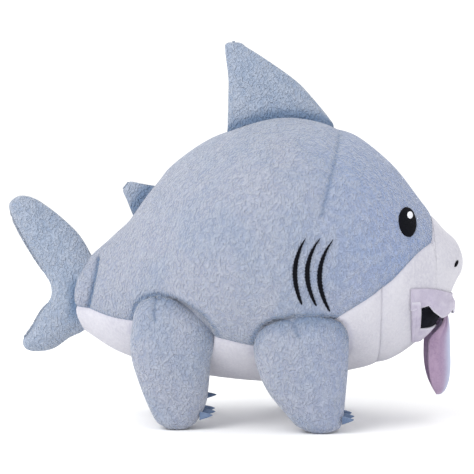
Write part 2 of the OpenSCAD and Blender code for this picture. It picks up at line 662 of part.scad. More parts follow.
back_panel(true);  // back_panel_left
back_panel(false);  // back_panel_right
belly_panel();
face_panel(true);  // face_panel_left
face_panel(false);  // face_panel_right
body_stuffing();
mouth_lining();
upper_lip();
lower_lip();
eye(true);  // eye_left
eye(false);  // eye_right
eye_highlight(true);  // eye_highlight_left
eye_highlight(false);  // eye_highlight_right
nostrils();
gill_stitches(true);  // gill_stitches_left
gill_stitches(false);  // gill_stitches_right
dorsal_fin(true);  // dorsal_fin_left
dorsal_fin(false);  // dorsal_fin_right
dorsal_fin_stuffing();
rear_fin(true);  // rear_fin_left
rear_fin(false);  // rear_fin_right
rear_fin_stuffing();
tail_fin(true);  // tail_fin_left
tail_fin(false);  // tail_fin_right
tail_fin_stuffing();
front_leg(true, true);  // front_leg_left_outer
front_leg(true, false);  // front_leg_left_inner
front_leg_stuffing(true);  // front_leg_left_stuffing
front_leg_claws(true);  // front_leg_left_claws
front_leg(false, true);  // front_leg_right_outer
front_leg(false, false);  // front_leg_right_inner
front_leg_stuffing(false);  // front_leg_right_stuffing
front_leg_claws(false);  // front_leg_right_claws
rear_leg(true, true);  // rear_leg_left_outer
rear_leg(true, false);  // rear_leg_left_inner
rear_leg_stuffing(true);  // rear_leg_left_stuffing
rear_leg_claws(true);  // rear_leg_left_claws
rear_leg(false, true);  // rear_leg_right_outer
rear_leg(false, false);  // rear_leg_right_inner
rear_leg_stuffing(false);  // rear_leg_right_stuffing
rear_leg_claws(false);  // rear_leg_right_claws
tongue_front();
tongue_back();
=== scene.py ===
"""Looks of the plush shark: plush, fleece, felt and thread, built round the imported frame.

+X runs to the nose, +Y to the shark's left and +Z up; lengths are in metres.
"""

import json
import math

import bpy
import numpy as np
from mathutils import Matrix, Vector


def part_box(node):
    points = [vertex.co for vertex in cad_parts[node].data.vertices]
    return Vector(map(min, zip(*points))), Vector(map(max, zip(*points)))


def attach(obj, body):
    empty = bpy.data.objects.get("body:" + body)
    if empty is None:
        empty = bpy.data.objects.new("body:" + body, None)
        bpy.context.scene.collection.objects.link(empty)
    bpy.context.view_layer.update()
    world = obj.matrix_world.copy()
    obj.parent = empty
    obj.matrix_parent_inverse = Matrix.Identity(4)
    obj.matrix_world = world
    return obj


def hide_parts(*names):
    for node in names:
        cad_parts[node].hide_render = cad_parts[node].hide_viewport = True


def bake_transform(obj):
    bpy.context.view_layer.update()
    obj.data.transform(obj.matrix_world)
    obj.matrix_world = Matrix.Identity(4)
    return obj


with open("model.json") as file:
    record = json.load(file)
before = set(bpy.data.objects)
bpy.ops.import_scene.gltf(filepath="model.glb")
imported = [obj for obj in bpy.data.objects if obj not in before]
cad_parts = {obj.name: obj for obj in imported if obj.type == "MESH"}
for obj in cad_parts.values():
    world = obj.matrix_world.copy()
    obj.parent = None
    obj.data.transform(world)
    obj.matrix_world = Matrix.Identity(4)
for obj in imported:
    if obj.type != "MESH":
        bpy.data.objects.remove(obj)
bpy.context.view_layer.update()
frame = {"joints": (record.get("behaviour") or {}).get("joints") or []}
JOINTS = {joint["name"]: joint for joint in frame["joints"]}
MM = 0.001
SIDES = (("right", False), ("left", True))


def pivot(joint):
    """Place of a joint's axis."""
    return np.array(JOINTS[joint]["pos_m"], float)


# ---- camera, floor and light ---------------------------------------------------------------

LOOK_AT = (0.0004, 0.0, 0.134)
CAMERA_FAR = 1.5
CAMERA_RISE = math.radians(4)
FIELD = 0.3453          # width of the view at the toy's middle
SENSOR = 36.0


def make_camera():
    """Camera level with the toy's right side, a little above it."""
    data = bpy.data.cameras.new("camera")
    data.sensor_width = SENSOR
    data.lens = SENSOR * CAMERA_FAR / FIELD
    camera = bpy.data.objects.new("camera", data)
    camera.location = (LOOK_AT[0], LOOK_AT[1] - CAMERA_FAR * math.cos(CAMERA_RISE),
                       LOOK_AT[2] + CAMERA_FAR * math.sin(CAMERA_RISE))
    camera.rotation_euler = (math.pi / 2 - CAMERA_RISE, 0, 0)
    bpy.context.scene.collection.objects.link(camera)
    bpy.context.scene.camera = camera


def area_light(name, place, size, power, aim=(0, 0, 0.12)):
    """Round soft lamp that faces the toy."""
    data = bpy.data.lights.new(name, "AREA")
    data.shape = "DISK"
    data.size = size
    data.energy = power
    light = bpy.data.objects.new(name, data)
    light.location = place
    toward = np.array(aim) - np.array(place)
    light.rotation_euler = (math.atan2(math.hypot(toward[0], toward[1]), -toward[2]), 0,
                            math.atan2(toward[1], toward[0]) - math.pi / 2)
    bpy.context.scene.collection.objects.link(light)


def make_studio():
    """Pale floor that runs out of sight, a white surround and three soft lamps."""
    world = bpy.data.worlds.new("surround")
    world.use_nodes = True
    world.node_tree.nodes["Background"].inputs["Color"].default_value = (1, 1, 1, 1)
    world.node_tree.nodes["Background"].inputs["Strength"].default_value = 1.12
    bpy.context.scene.world = world
    area_light("key", (-1.1, -1.0, 1.3), 1.4, 18)
    area_light("fill", (0.9, -1.5, 1.2), 1.6, 1.5)
    area_light("back", (-0.3, 1.3, 1.2), 1.2, 4)
    side = 6.0
    mesh = bpy.data.meshes.new("floor")
    mesh.from_pydata([(-side, -side, 0), (side, -side, 0), (side, side, 0), (-side, side, 0)], [],
                     [(0, 1, 2, 3)])
    floor = bpy.data.objects.new("floor", mesh)
    bpy.context.scene.collection.objects.link(floor)
    mat = bpy.data.materials.new("studio_floor")
    mat.use_nodes = True
    shader = mat.node_tree.nodes["Principled BSDF"]
    shader.inputs["Base Color"].default_value = (0.97, 0.97, 0.97, 1)
    shader.inputs["Roughness"].default_value = 1.0
    shader.inputs["Specular IOR Level"].default_value = 0.0
    mesh.materials.append(mat)
    settings = bpy.context.scene.view_settings
    settings.view_transform = "Standard"
    settings.look = "None"


# ---- materials -----------------------------------------------------------------------------

def linear(red, green, blue):
    """Colour for a shader from the three 0 to 255 values of a screen colour."""
    c = np.array([red, green, blue]) / 255
    c = np.where(c <= 0.04045, c / 12.92, ((c + 0.055) / 1.055) ** 2.4)
    return (*c.tolist(), 1.0)


class Recipe:
    """A material under construction: its node tree, its shader and short ways to add nodes."""

    def __init__(self, name, roughness, sheen, sheen_roughness=0.5, specular=0.25):
        self.material = bpy.data.materials.new(name)
        self.material.use_nodes = True
        self.nodes = self.material.node_tree.nodes
        self.links = self.material.node_tree.links
        self.shader = self.nodes["Principled BSDF"]
        self.shader.inputs["Roughness"].default_value = roughness
        self.shader.inputs["Specular IOR Level"].default_value = specular
        self.shader.inputs["Sheen Weight"].default_value = sheen
        self.shader.inputs["Sheen Roughness"].default_value = sheen_roughness
        self.coords = self.nodes.new("ShaderNodeTexCoord")

    def put(self, socket, value):
        """Links a socket to a pattern, or sets it to a fixed value."""
        if isinstance(value, bpy.types.NodeSocket):
            self.links.new(value, socket)
        else:
            socket.default_value = value

    def place(self, output="Object", scale=(1, 1, 1), turn=(0, 0, 0)):
        node = self.nodes.new("ShaderNodeMapping")
        self.put(node.inputs["Vector"], self.coords.outputs[output])
        node.inputs["Scale"].default_value = scale
        node.inputs["Rotation"].default_value = [math.radians(v) for v in turn]
        return node.outputs["Vector"]

    def noise(self, where, size, detail=2.0, rough=0.5, twist=0.0):
        """Cloudy pattern whose features are about size metres."""
        node = self.nodes.new("ShaderNodeTexNoise")
        self.put(node.inputs["Vector"], where)
        node.inputs["Scale"].default_value = 1 / size
        node.inputs["Detail"].default_value = detail
        node.inputs["Roughness"].default_value = rough
        node.inputs["Distortion"].default_value = twist
        return node.outputs["Fac"]

    def wave(self, where, size, twist=0.0):
        """Ridges across Y, about size metres apart."""
        node = self.nodes.new("ShaderNodeTexWave")
        node.bands_direction = "Y"
        self.put(node.inputs["Vector"], where)
        node.inputs["Scale"].default_value = 0.314 / size
        node.inputs["Distortion"].default_value = twist
        node.inputs["Detail"].default_value = 1.0
        return node.outputs["Fac"]

    def span(self, value, low, high, to_low=0.0, to_high=1.0):
        """Stretches the values from low to high over a new range, and clips the rest."""
        node = self.nodes.new("ShaderNodeMapRange")
        node.interpolation_type = "SMOOTHSTEP"
        self.put(node.inputs["Value"], value)
        for socket, v in (("From Min", low), ("From Max", high), ("To Min", to_low),
                          ("To Max", to_high)):
            node.inputs[socket].default_value = v
        return node.outputs["Result"]

    def sums(self, kind, a, b):
        node = self.nodes.new("ShaderNodeMath")
        node.operation = kind
        self.put(node.inputs[0], a)
        self.put(node.inputs[1], b)
        return node.outputs["Value"]

    def mix(self, share, a, b):
        node = self.nodes.new("ShaderNodeMix")
        node.data_type = "RGBA"
        self.put(node.inputs["Factor"], share)
        self.put(node.inputs["A"], a)
        self.put(node.inputs["B"], b)
        return node.outputs["Result"]

    def attribute(self, name):
        node = self.nodes.new("ShaderNodeAttribute")
        node.attribute_name = name
        return node.outputs["Fac"]

    def bump(self, layers):
        """Chain of bumps, each (pattern, depth in metres, strength)."""
        normal = None
        for pattern, depth, strength in layers:
            node = self.nodes.new("ShaderNodeBump")
            self.put(node.inputs["Height"], pattern)
            node.inputs["Distance"].default_value = depth
            node.inputs["Strength"].default_value = strength
            if normal is not None:
                self.links.new(normal, node.inputs["Normal"])
            normal = node.outputs["Normal"]
        self.links.new(normal, self.shader.inputs["Normal"])

    def finish(self, colour):
        self.put(self.shader.inputs["Base Color"], colour)
        return self.material


def plush(name, warm, cool, light, dark, painted_head_shade, grain=0.0015, patch=0.05):
    """Short-pile plush: wide brushed patches, a fine grain where tufts of pile stand and part,
    and single fibres; painted shade gives the creases a deeper blue and turns the plush darker
    and bluer towards the head."""
    r = Recipe(name, roughness=1.0, sheen=0.5, sheen_roughness=0.35, specular=0.1)
    patches = r.span(r.noise(r.place(), patch, 2, 0.5, 0.6), 0.36, 0.64)
    combed = r.place(scale=(1, 1, 0.7), turn=(0, 28, 0))
    tufts = r.span(r.noise(combed, grain, 1, 0.5), 0.3, 0.7)
    clumps = r.span(r.noise(combed, grain * 2.6, 2, 0.5), 0.35, 0.68)
    fibres = r.noise(r.place(), 0.0007, 2, 0.7)
    forward = r.nodes.new("ShaderNodeSeparateXYZ")
    r.put(forward.inputs[0], r.coords.outputs["Object"])
    colour = r.mix(patches, cool, warm)
    # painted shade: the colour turns darker and bluer towards the head, over the front of the body
    colour = r.mix(r.span(forward.outputs["X"], 0.02, 0.13, 0.0, 0.75), colour, painted_head_shade)
    colour = r.mix(r.span(tufts, 0.0, 1.0, 0.42, 0.0), colour, dark)
    colour = r.mix(r.span(clumps, 0.0, 1.0, 0.0, 0.3), colour, light)
    colour = r.mix(r.span(fibres, 0.35, 0.65, 0.15, 0.0), colour, dark)
    # painted shade: a deeper blue in the creases along seams and round the roots of legs and fins
    colour = r.mix(r.sums("MULTIPLY", r.attribute("crease"), 0.8), colour,
                   linear(78, 106, 140))
    r.bump([(clumps, 0.001, 0.35), (tufts, 0.0017, 0.75), (fibres, 0.0005, 0.5)])
    return r.finish(colour)


def fleece(name, mid, light, dark):
    """Brushed fleece: smoother than the plush, with faint clouds and fine fibres."""
    r = Recipe(name, roughness=1.0, sheen=0.2, sheen_roughness=0.5, specular=0.1)
    clouds = r.span(r.noise(r.place(), 0.03, 2, 0.5), 0.35, 0.65)
    nap = r.span(r.noise(r.place(scale=(1, 1, 0.7)), 0.0016, 2, 0.6), 0.3, 0.7)
    fibres = r.noise(r.place(), 0.0006, 2, 0.7)
    crease = r.attribute("crease")
    colour = r.mix(clouds, dark, mid)
    colour = r.mix(r.sums("MULTIPLY", nap, 0.5), colour, light)
    # painted shade: darker in the creases along the seams
    colour = r.mix(r.sums("MULTIPLY", crease, 0.5), colour, linear(165, 165, 185))
    r.bump([(nap, 0.0006, 0.35), (fibres, 0.0003, 0.4)])
    return r.finish(colour)


def felt(name, mid, light, dark, rim=None, sheen=0.25):
    """Pressed felt: matted short fibres in no direction, and a paler cut edge."""
    r = Recipe(name, roughness=1.0, sheen=sheen, sheen_roughness=0.5, specular=0.08)
    mat = r.noise(r.place(), 0.0011, 4, 0.7, 1.5)
    clouds = r.noise(r.place(), 0.007, 3, 0.6)
    colour = r.mix(r.span(mat, 0.3, 0.7), dark, mid)
    colour = r.mix(r.span(clouds, 0.4, 0.7, 0, 0.6), colour, light)
    if rim is not None:
        colour = r.mix(r.attribute("rim"), colour, rim)
    r.bump([(mat, 0.0004, 0.5), (clouds, 0.0006, 0.25)])
    return r.finish(colour)


def satin_stitch(name, dark, light, thread=0.00045):
    """Embroidery: threads side by side across the patch, which its UV map runs along."""
    r = Recipe(name, roughness=0.7, sheen=0.0, specular=0.06)
    run = r.place("UV")
    ridges = r.wave(run, thread, 0.6)
    broken = r.noise(r.place("UV", scale=(0.12, 1, 1)), thread * 1.6, 2, 0.6)
    colour = r.mix(r.span(ridges, 0.1, 0.9), dark, light)
    colour = r.mix(r.span(broken, 0.35, 0.65, 0, 0.5), colour, dark)
    r.bump([(ridges, 0.0003, 0.6), (broken, 0.0003, 0.4)])
    return r.finish(colour)


def tongue_cloth(name, mid, light, dark):
    """Brushed knit of the tongue: pale at its sewn rim, with a painted highlight on its front bend
    and painted shade in the fold down its middle.
    """
    r = Recipe(name, roughness=0.9, sheen=0.3, sheen_roughness=0.45)
    nap = r.noise(r.place(), 0.0012, 3, 0.65)
    clouds = r.noise(r.place(), 0.009, 3, 0.6)
    colour = r.mix(r.span(clouds, 0.35, 0.65), dark, mid)
    colour = r.mix(r.span(nap, 0.35, 0.7, 0, 0.5), colour, light)
    # painted shade darkens the fold; a painted highlight pales the front bend, together with the sewn
    # rim
    colour = r.mix(r.sums("MULTIPLY", r.attribute("crease"), 0.6), colour, linear(133, 112, 146))
    colour = r.mix(r.attribute("rim"), colour, linear(170, 180, 208))
    r.bump([(nap, 0.0004, 0.45), (clouds, 0.0006, 0.2)])
    return r.finish(colour)


# The last colour of each plush is painted shade towards the head.
BLUE = plush("blue_plush", linear(163, 167, 182), linear(152, 161, 180), linear(180, 185, 195),
             linear(128, 140, 166), linear(134, 153, 195))
BLUE_FINS = plush("blue_plush_fins", linear(158, 167, 183), linear(151, 163, 182),
                  linear(176, 182, 194), linear(122, 138, 164), linear(152, 164, 184))
PALE = fleece("pale_fleece", linear(193, 192, 201), linear(205, 204, 210), linear(183, 182, 193))
LILAC = felt("lilac_felt", linear(180, 174, 191), linear(191, 186, 200), linear(167, 160, 181),
             rim=linear(200, 198, 210))
STEEL = felt("steel_felt", linear(100, 118, 146), linear(116, 133, 160), linear(82, 98, 127),
             rim=linear(124, 140, 166))
BLACK_FELT = felt("black_felt", linear(17, 18, 26), linear(28, 29, 40), linear(9, 9, 14),
                  sheen=0.0)
BLACK_THREAD = satin_stitch("black_thread", linear(6, 7, 12), linear(22, 23, 32))
WHITE_THREAD = satin_stitch("white_thread", linear(222, 224, 234), linear(248, 248, 252))
PINK = tongue_cloth("pink_cloth", linear(160, 138, 164), linear(173, 152, 176),
                    linear(147, 125, 153))


# ---- curves, grids and meshes --------------------------------------------------------------

def smooth(rows, at):
    """Catmull-Rom curve through the rows, read at fractional indices: each stretch is the cubic
    that leaves a row along the line between its two neighbours."""
    at = np.asarray(at, float)
    i = np.clip(np.floor(at).astype(int), 0, len(rows) - 2)
    t = (at - i)[..., None]
    a, b, c, d = (rows[np.clip(i + k, 0, len(rows) - 1)] for k in (-1, 0, 1, 2))
    return 0.5 * (2 * b + (c - a) * t + (2 * a - 5 * b + 4 * c - d) * t**2
                  + (3 * b - a - 3 * c + d) * t**3)


def eased(t):
    """Smooth step: 3 t squared less 2 t cubed, which leaves 0 and reaches 1 level."""
    return t * t * (3 - 2 * t)


def power(value, exponent):
    """A power that keeps the value's sign."""
    return np.sign(value) * np.abs(value) ** exponent


def crowded(n, at_start=True, bend=2.0):
    """n values from 0 to 1, closer together towards the end, and towards the start if chosen."""
    t = np.linspace(0, 1, n)
    if at_start:
        return np.where(t < 0.5, 0.5 * (2 * t) ** bend, 1 - 0.5 * (2 - 2 * t) ** bend)
    return 1 - (1 - t) ** bend


def normals_of(points):
    """Unit normals of a grid of points: the cross product of its two directions."""
    along, across = np.gradient(points, axis=0), np.gradient(points, axis=1)
    n = np.cross(along, across)
    return n / np.maximum(np.linalg.norm(n, axis=-1, keepdims=True), 1e-12)


def nearness(points, line, width):
    """Bell from 1 on a line of points to 0 a few widths away: exp(-(distance / width) ** 2)."""
    flat = points.reshape(-1, 3)
    nearest = np.full(len(flat), 1e9)
    for start in range(0, len(line), 40):
        gap = flat[:, None, :] - line[None, start:start + 40, :]
        nearest = np.minimum(nearest, (gap**2).sum(-1).min(1))
    return np.exp(-nearest / width**2).reshape(points.shape[:-1])


def mesh_piece(name, points, faces, material, values=None, uv=None):
    """New object from points and faces, an array or a list of them, smooth shaded, with its
    named point values."""
    mesh = bpy.data.meshes.new(name)
    mesh.from_pydata(points.reshape(-1, 3).tolist(), [],
                     faces if isinstance(faces, list) else faces.tolist())
    mesh.polygons.foreach_set("use_smooth", np.ones(len(mesh.polygons), bool))
    for key, value in (values or {}).items():
        layer = mesh.attributes.new(key, "FLOAT", "POINT")
        layer.data.foreach_set("value", np.asarray(value, np.float32).ravel())
    if uv is not None:
        corners = np.zeros(len(mesh.loops), np.int32)
        mesh.loops.foreach_get("vertex_index", corners)
        mesh.uv_layers.new(name="UVMap").data.foreach_set(
            "uv", uv.reshape(-1, 2)[corners].astype(np.float32).ravel())
    mesh.materials.append(material)
    mesh.update()
    piece = bpy.data.objects.new(name, mesh)
    bpy.context.scene.collection.objects.link(piece)
    return piece


def grid_faces(rows, cols, wrap=False, turned=False):
    """Quads of a grid of rows by cols points; wrap joins the last column to the first."""
    i, j = np.meshgrid(np.arange(rows - 1), np.arange(cols if wrap else cols - 1), indexing="ij")
    k = (j + 1) % cols
    quads = np.stack([i * cols + j, (i + 1) * cols + j, (i + 1) * cols + k, i * cols + k], -1)
    quads = quads.reshape(-1, 4)
    return quads[:, ::-1] if turned else quads


def mirrored(points):
    """The same points on the shark's left side."""
    return points * np.array([1, -1, 1])


def cloth_layer(piece, thickness):
    """Gives a sheet its thickness, inwards."""
    solid = piece.modifiers.new("thickness", "SOLIDIFY")
    solid.thickness = thickness
    solid.offset = -1
    solid.use_even_offset = False
    return piece


# ---- the body's surface --------------------------------------------------------------------

# Stations of the body: place along it, top, bottom, half width (as shares of its size), and the
# turn at which the blue plush meets the pale fleece, from the back down.
STATIONS = np.array([
    [0.000, 0.37, 0.245, 0.085, 108], [0.014, 0.42, 0.21, 0.15, 108],
    [0.049, 0.48, 0.17, 0.215, 110], [0.116, 0.57, 0.11, 0.355, 114],
    [0.208, 0.75, 0.065, 0.58, 121], [0.350, 0.91, 0.02, 0.86, 127],
    [0.525, 1.00, 0.00, 1.00, 133], [0.683, 0.955, 0.035, 0.985, 117],
    [0.806, 0.83, 0.08, 0.86, 96.5], [0.895, 0.67, 0.17, 0.67, 64.5],
    [0.945, 0.58, 0.27, 0.52, 36], [0.978, 0.535, 0.37, 0.34, 25],
    [0.994, 0.49, 0.41, 0.17, 20], [1.000, 0.455, 0.445, 0.02, 10]])
NECK = 7.75             # ring where the belly fleece meets the face
FRONT = 9.25            # ring where the blue plush ends at the side of the snout
FRONT_BOW = 0.12        # how far the blue plush runs on over the top of the snout

panel_boxes = [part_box(node) for node in ("back_panel_right", "belly_panel", "face_panel_right")]
NOSE_X = max(high.x for low, high in panel_boxes)
BELLY_Z = min(low.z for low, high in panel_boxes)
BODY_W = 2 * max(-low.y for low, high in panel_boxes)
DORSAL_SINK = 0.008     # depth of the dorsal fin's fold line below the top of the back
BODY_H = pivot("dorsal_fin_bend")[2] + DORSAL_SINK - BELLY_Z
SWING_IN = 0.009        # distance of the tail's swing line from the end of the body
TAIL_X = pivot("tail_sway")[0] - SWING_IN
BODY_L = NOSE_X - TAIL_X


def along(share):
    """Place along the body at a share of its length."""
    return TAIL_X + BODY_L * share


def height(share):
    """Height at a share of the body's height."""
    return BELLY_Z + BODY_H * share


TAIL_END = np.array([along(0), 0, height(0.3075)])     # middle of the body's rear end
END_BULGE = 2 * MM      # how far that end is rounded
NOSE_TIP = np.array([NOSE_X, 0, height(0.45)])


def section(ring):
    """The stations at a ring, and the middle and half the height of the body there."""
    q = smooth(STATIONS, ring)
    return q, height((q[..., 1] + q[..., 2]) / 2), BODY_H * (q[..., 1] - q[..., 2]) / 2


def body_point(ring, turn):
    """Point of the body: at each ring an ellipse whose middle, height and width follow the
    stations, read at a turn that is 0 on the back, 90 on the right side and 180 on the belly."""
    q, middle, tall = section(ring)
    a = np.radians(turn)
    return np.stack([along(q[..., 0]), -BODY_W / 2 * q[..., 3] * np.sin(a),
                     middle + tall * np.cos(a)], -1)


RING_TABLE = np.linspace(0, len(STATIONS) - 1, 2001)
RING_X = along(smooth(STATIONS, RING_TABLE)[:, 0])


def ring_at(x):
    """Ring of the body at a place along it."""
    return np.interp(x, RING_X, RING_TABLE)


def side_turn(x, z):
    """Ring and turn of the point on the right side at a distance along the body and a height."""
    ring = ring_at(x)
    _, middle, tall = section(ring)
    return ring, np.degrees(np.arccos(np.clip((z - middle) / tall, -1, 1)))


def body_normal(ring, turn):
    """Outward normal: the cross product of small steps along the body and round it."""
    e, f = 0.02, 0.5
    low = np.clip(ring - e, 0, len(STATIONS) - 1)
    high = np.clip(ring + e, 0, len(STATIONS) - 1)
    n = np.cross(body_point(high, turn) - body_point(low, turn),
                 body_point(ring, turn + f) - body_point(ring, turn - f))
    n /= np.maximum(np.linalg.norm(n, axis=-1, keepdims=True), 1e-12)
    out = body_point(ring, turn) - np.array([along(0.5), 0, height(0.5)])
    return n * np.sign((n * out).sum(-1, keepdims=True))


def side_point(x, z):
    """Point of the body's right side at a distance along it and a height."""
    return body_point(*side_turn(x, z))


def seam_turn(ring):
    """Turn at which the blue plush ends, at a ring."""
    return smooth(STATIONS, ring)[..., 4]


def polyline(points, n):
    """n points spaced along a smooth curve through a few chosen ones."""
    rows = np.array(points, float)
    return smooth(rows, np.linspace(0, len(rows) - 1, n))


# Seams of the body, each a line of points on its surface.
side_rings = np.linspace(0, FRONT, 260)
SIDE_SEAM = body_point(side_rings, seam_turn(side_rings))
bow = np.linspace(0, 1, 60)
BOW_SEAM = body_point(FRONT + FRONT_BOW * (1 - bow**2), seam_turn(FRONT) * bow)
neck_turns = np.linspace(float(seam_turn(NECK)), 180, 90)
NECK_SEAM = body_point(np.full(90, NECK), neck_turns)
crest_rings = np.linspace(0, FRONT, 260)
CREST_SEAM = body_point(crest_rings, np.zeros(260))
snout_rings = np.linspace(FRONT + FRONT_BOW, len(STATIONS) - 1.35, 80)
SNOUT_SEAM = np.concatenate([body_point(snout_rings, np.zeros(80)),
                             body_point(np.linspace(NECK, 11.65, 120), np.full(120, 180.0))])
head_dart = polyline([[along(0.685), height(0.952)], [along(0.667), height(0.86)],
                      [along(0.648), height(0.76)], [along(0.628), height(0.65)]], 60)
HEAD_DART = side_point(head_dart[:, 0], head_dart[:, 1])
tail_dart = polyline([[along(0.062), height(0.47)], [along(0.056), height(0.41)],
                      [along(0.047), height(0.34)], [along(0.038), height(0.285)]], 40)
TAIL_DART = side_point(tail_dart[:, 0], tail_dart[:, 1])
# line, depth of the sharp groove and of the wide dip round it, width of each
BODY_SEAMS = [(SIDE_SEAM, 0.7, 0.6, 1.6, 5), (BOW_SEAM, 0.6, 0.5, 1.6, 5),
              (NECK_SEAM, 0.5, 0.9, 1.5, 6), (CREST_SEAM, 0.5, 0.3, 1.2, 4),
              (SNOUT_SEAM, 0.6, 0.4, 1.2, 4), (HEAD_DART, 0.8, 1.4, 1.5, 8),
              (TAIL_DART, 1.6, 1.8, 1.8, 6)]


def sewn(points, normals, seams):
    """Points pulled inwards at each seam, and how deep in a crease each one is, from 0 to 1, which
    the materials use for painted shade.
    """
    inwards = np.zeros(points.shape[:-1])
    crease = np.zeros(points.shape[:-1])
    for line, deep, dip, narrow, wide in seams:
        groove = nearness(points, line, narrow * MM)
        inwards += (deep * groove + dip * nearness(points, line, wide * MM)) * MM
        crease = np.maximum(crease, groove * min(deep, 1.5) / 1.5)
    return points - normals * inwards[..., None], crease


HOLLOW_GAP = 2.5 * MM
HOLLOW_DEEP = 7 * MM
HOLLOW_FADE = 2.5 * MM  # distance inside the leg's outline over which the hollow sets in


def hollowed(points):
    """Points of the right side pressed in under each leg's top, so that the leg stands out of
    the body along its seam: inside the leg's outline a point is put HOLLOW_GAP behind the leg's
    outer face, but no deeper than HOLLOW_DEEP and never outwards."""
    for which, table in LEG_LEVELS.items():
        hip, r, face, thick = leg_place(which)
        v = smooth(table, np.linspace(4, len(table) - 1, 400))
        level = np.where(v[:, 0] < 0, hip[2], r) * v[:, 0] + hip[2]
        x, side, z = points[..., 0], -points[..., 1], points[..., 2]
        rear, front, inner, outer = (np.interp(z, level, v[:, k]) for k in (1, 2, 3, 4))
        rear, front = hip[0] + r * rear, hip[0] + r * front
        middle, half = (rear + front) / 2, (front - rear) / 2
        share = np.clip(np.abs(x - middle) / np.maximum(half, MM), 0, 1)
        sine = np.sqrt(1 - share ** (2 / LEG_SQUARE))
        skin = face + thick * ((inner + outer) / 2 + (outer - inner) / 2 * sine ** LEG_SQUARE)
        inside = np.minimum(np.minimum(x - rear, front - x), level[-1] - z)
        weight = np.clip(inside / HOLLOW_FADE, 0, 1) * np.clip((side - 0.02) / 0.01, 0, 1)
        weight = eased(weight) * (z > level[0])
        deeper = np.clip(skin - HOLLOW_GAP, side - HOLLOW_DEEP, side)
        points = points.copy()
        points[..., 1] = -(side + (deeper - side) * weight)
    return points


def body_panel(name, ring, turn, material, on_left, nodes):
    """Panel of the body's skin over a grid of rings and turns, pulled in at its seams. A panel
    that reaches the first or the last ring is closed there, by a low cap or by one point."""
    normals = body_normal(ring, turn)
    points, crease = sewn(body_point(ring, turn), normals, BODY_SEAMS)
    to_right = np.where(points[..., 1] > 0, -1, 1)
    points[..., 1] *= to_right
    points = hollowed(points)
    points[..., 1] *= to_right
    # painted shade along the seam at the top of each leg
    for root in LEG_ROOTS.values():
        crease = np.maximum(crease, 0.8 * nearness(points, root, 2 * MM))
        crease = np.maximum(crease, 0.8 * nearness(points, mirrored(root), 2 * MM))
    if on_left:
        points = mirrored(points)
    outward = (normals_of(points) * (mirrored(normals) if on_left else normals)).sum() > 0
    if ring.min() == 0:
        share = np.array([0, 0.3, 0.6, 0.85])[:, None, None]
        middle = TAIL_END - END_BULGE * (1 - share**2) * np.array([1, 0, 0])
        points = np.concatenate([middle + (points[:1] - TAIL_END) * share, points])
        crease = np.concatenate([np.repeat(crease[:1], len(share), 0), crease])
    if ring.max() == len(STATIONS) - 1:
        points = np.concatenate([points, np.broadcast_to(NOSE_TIP, points[:1].shape)])
        crease = np.concatenate([crease, crease[-1:]])
    piece = mesh_piece(name, points, grid_faces(*points.shape[:2], turned=not outward), material,
                       {"crease": crease})
    cloth_layer(piece, 1.6 * MM)
    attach(piece, "torso")
    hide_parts(*nodes)


def make_body():
    """Back, belly and face panels, which meet edge to edge at the seams."""
    rings = np.concatenate([np.linspace(0, NECK, 230)[:-1], np.linspace(NECK, FRONT, 46)])
    across = crowded(110, bend=1.4)
    for side, on_left in SIDES:
        share = np.clip((rings - NECK) / (FRONT - NECK), 0, 1)[:, None]
        ring = rings[:, None] + FRONT_BOW * share * (1 - across[None, :] ** 2)
        turn = seam_turn(rings)[:, None] * across[None, :]
        body_panel(f"back_plush_{side}", ring, turn, BLUE, on_left,
                   [f"back_panel_{side}"])
    rings = np.linspace(0, NECK, 230)
    across = crowded(130, bend=1.4)
    start = seam_turn(rings)[:, None]
    turn = start + (360 - 2 * start) * across[None, :]
    body_panel("belly_fleece", np.repeat(rings[:, None], 130, 1), turn, PALE,
               False, ["belly_panel", "body_stuffing"])
    for side, on_left in SIDES:
        cheek = np.linspace(NECK, FRONT, 44)[:-1]
        snout = FRONT + FRONT_BOW * np.linspace(0, 1, 24) ** 2
        nose = (FRONT + FRONT_BOW
                + (len(STATIONS) - 1 - FRONT - FRONT_BOW) * crowded(64, at_start=False, bend=1.5)[1:])
        rings = np.concatenate([cheek, snout, nose])
        past = np.clip((rings - FRONT) / FRONT_BOW, 0, 1)
        start = np.where(rings <= FRONT, seam_turn(rings),
                         seam_turn(FRONT) * np.sqrt(1 - past))[:, None]
        across = crowded(60, bend=1.5)[None, :]
        turn = start + (180 - start) * across
        body_panel(f"face_fleece_{side}", np.repeat(rings[:, None], 60, 1), turn, PALE,
                   on_left, [f"face_panel_{side}"])


# ---- cloth trial ---------------------------------------------------------------------------

CLOTH_SCALE = 10.0      # size of the trial cloth against the toy
CLOTH_FRAMES = 20
CLOTH_PRESSURE = 7.0


def closed_faces(rows, cols):
    """Quads of a tube of rows by cols points, and a fan of triangles to a pole at each end."""
    tube = grid_faces(rows, cols, wrap=True)
    first, last = rows * cols, rows * cols + 1
    j = np.arange(cols)
    k = (j + 1) % cols
    start = np.stack([np.full(cols, first), j, k], -1)
    end = np.stack([np.full(cols, last), (rows - 1) * cols + k, (rows - 1) * cols + j], -1)
    return tube.tolist() + start.tolist() + end.tolist()


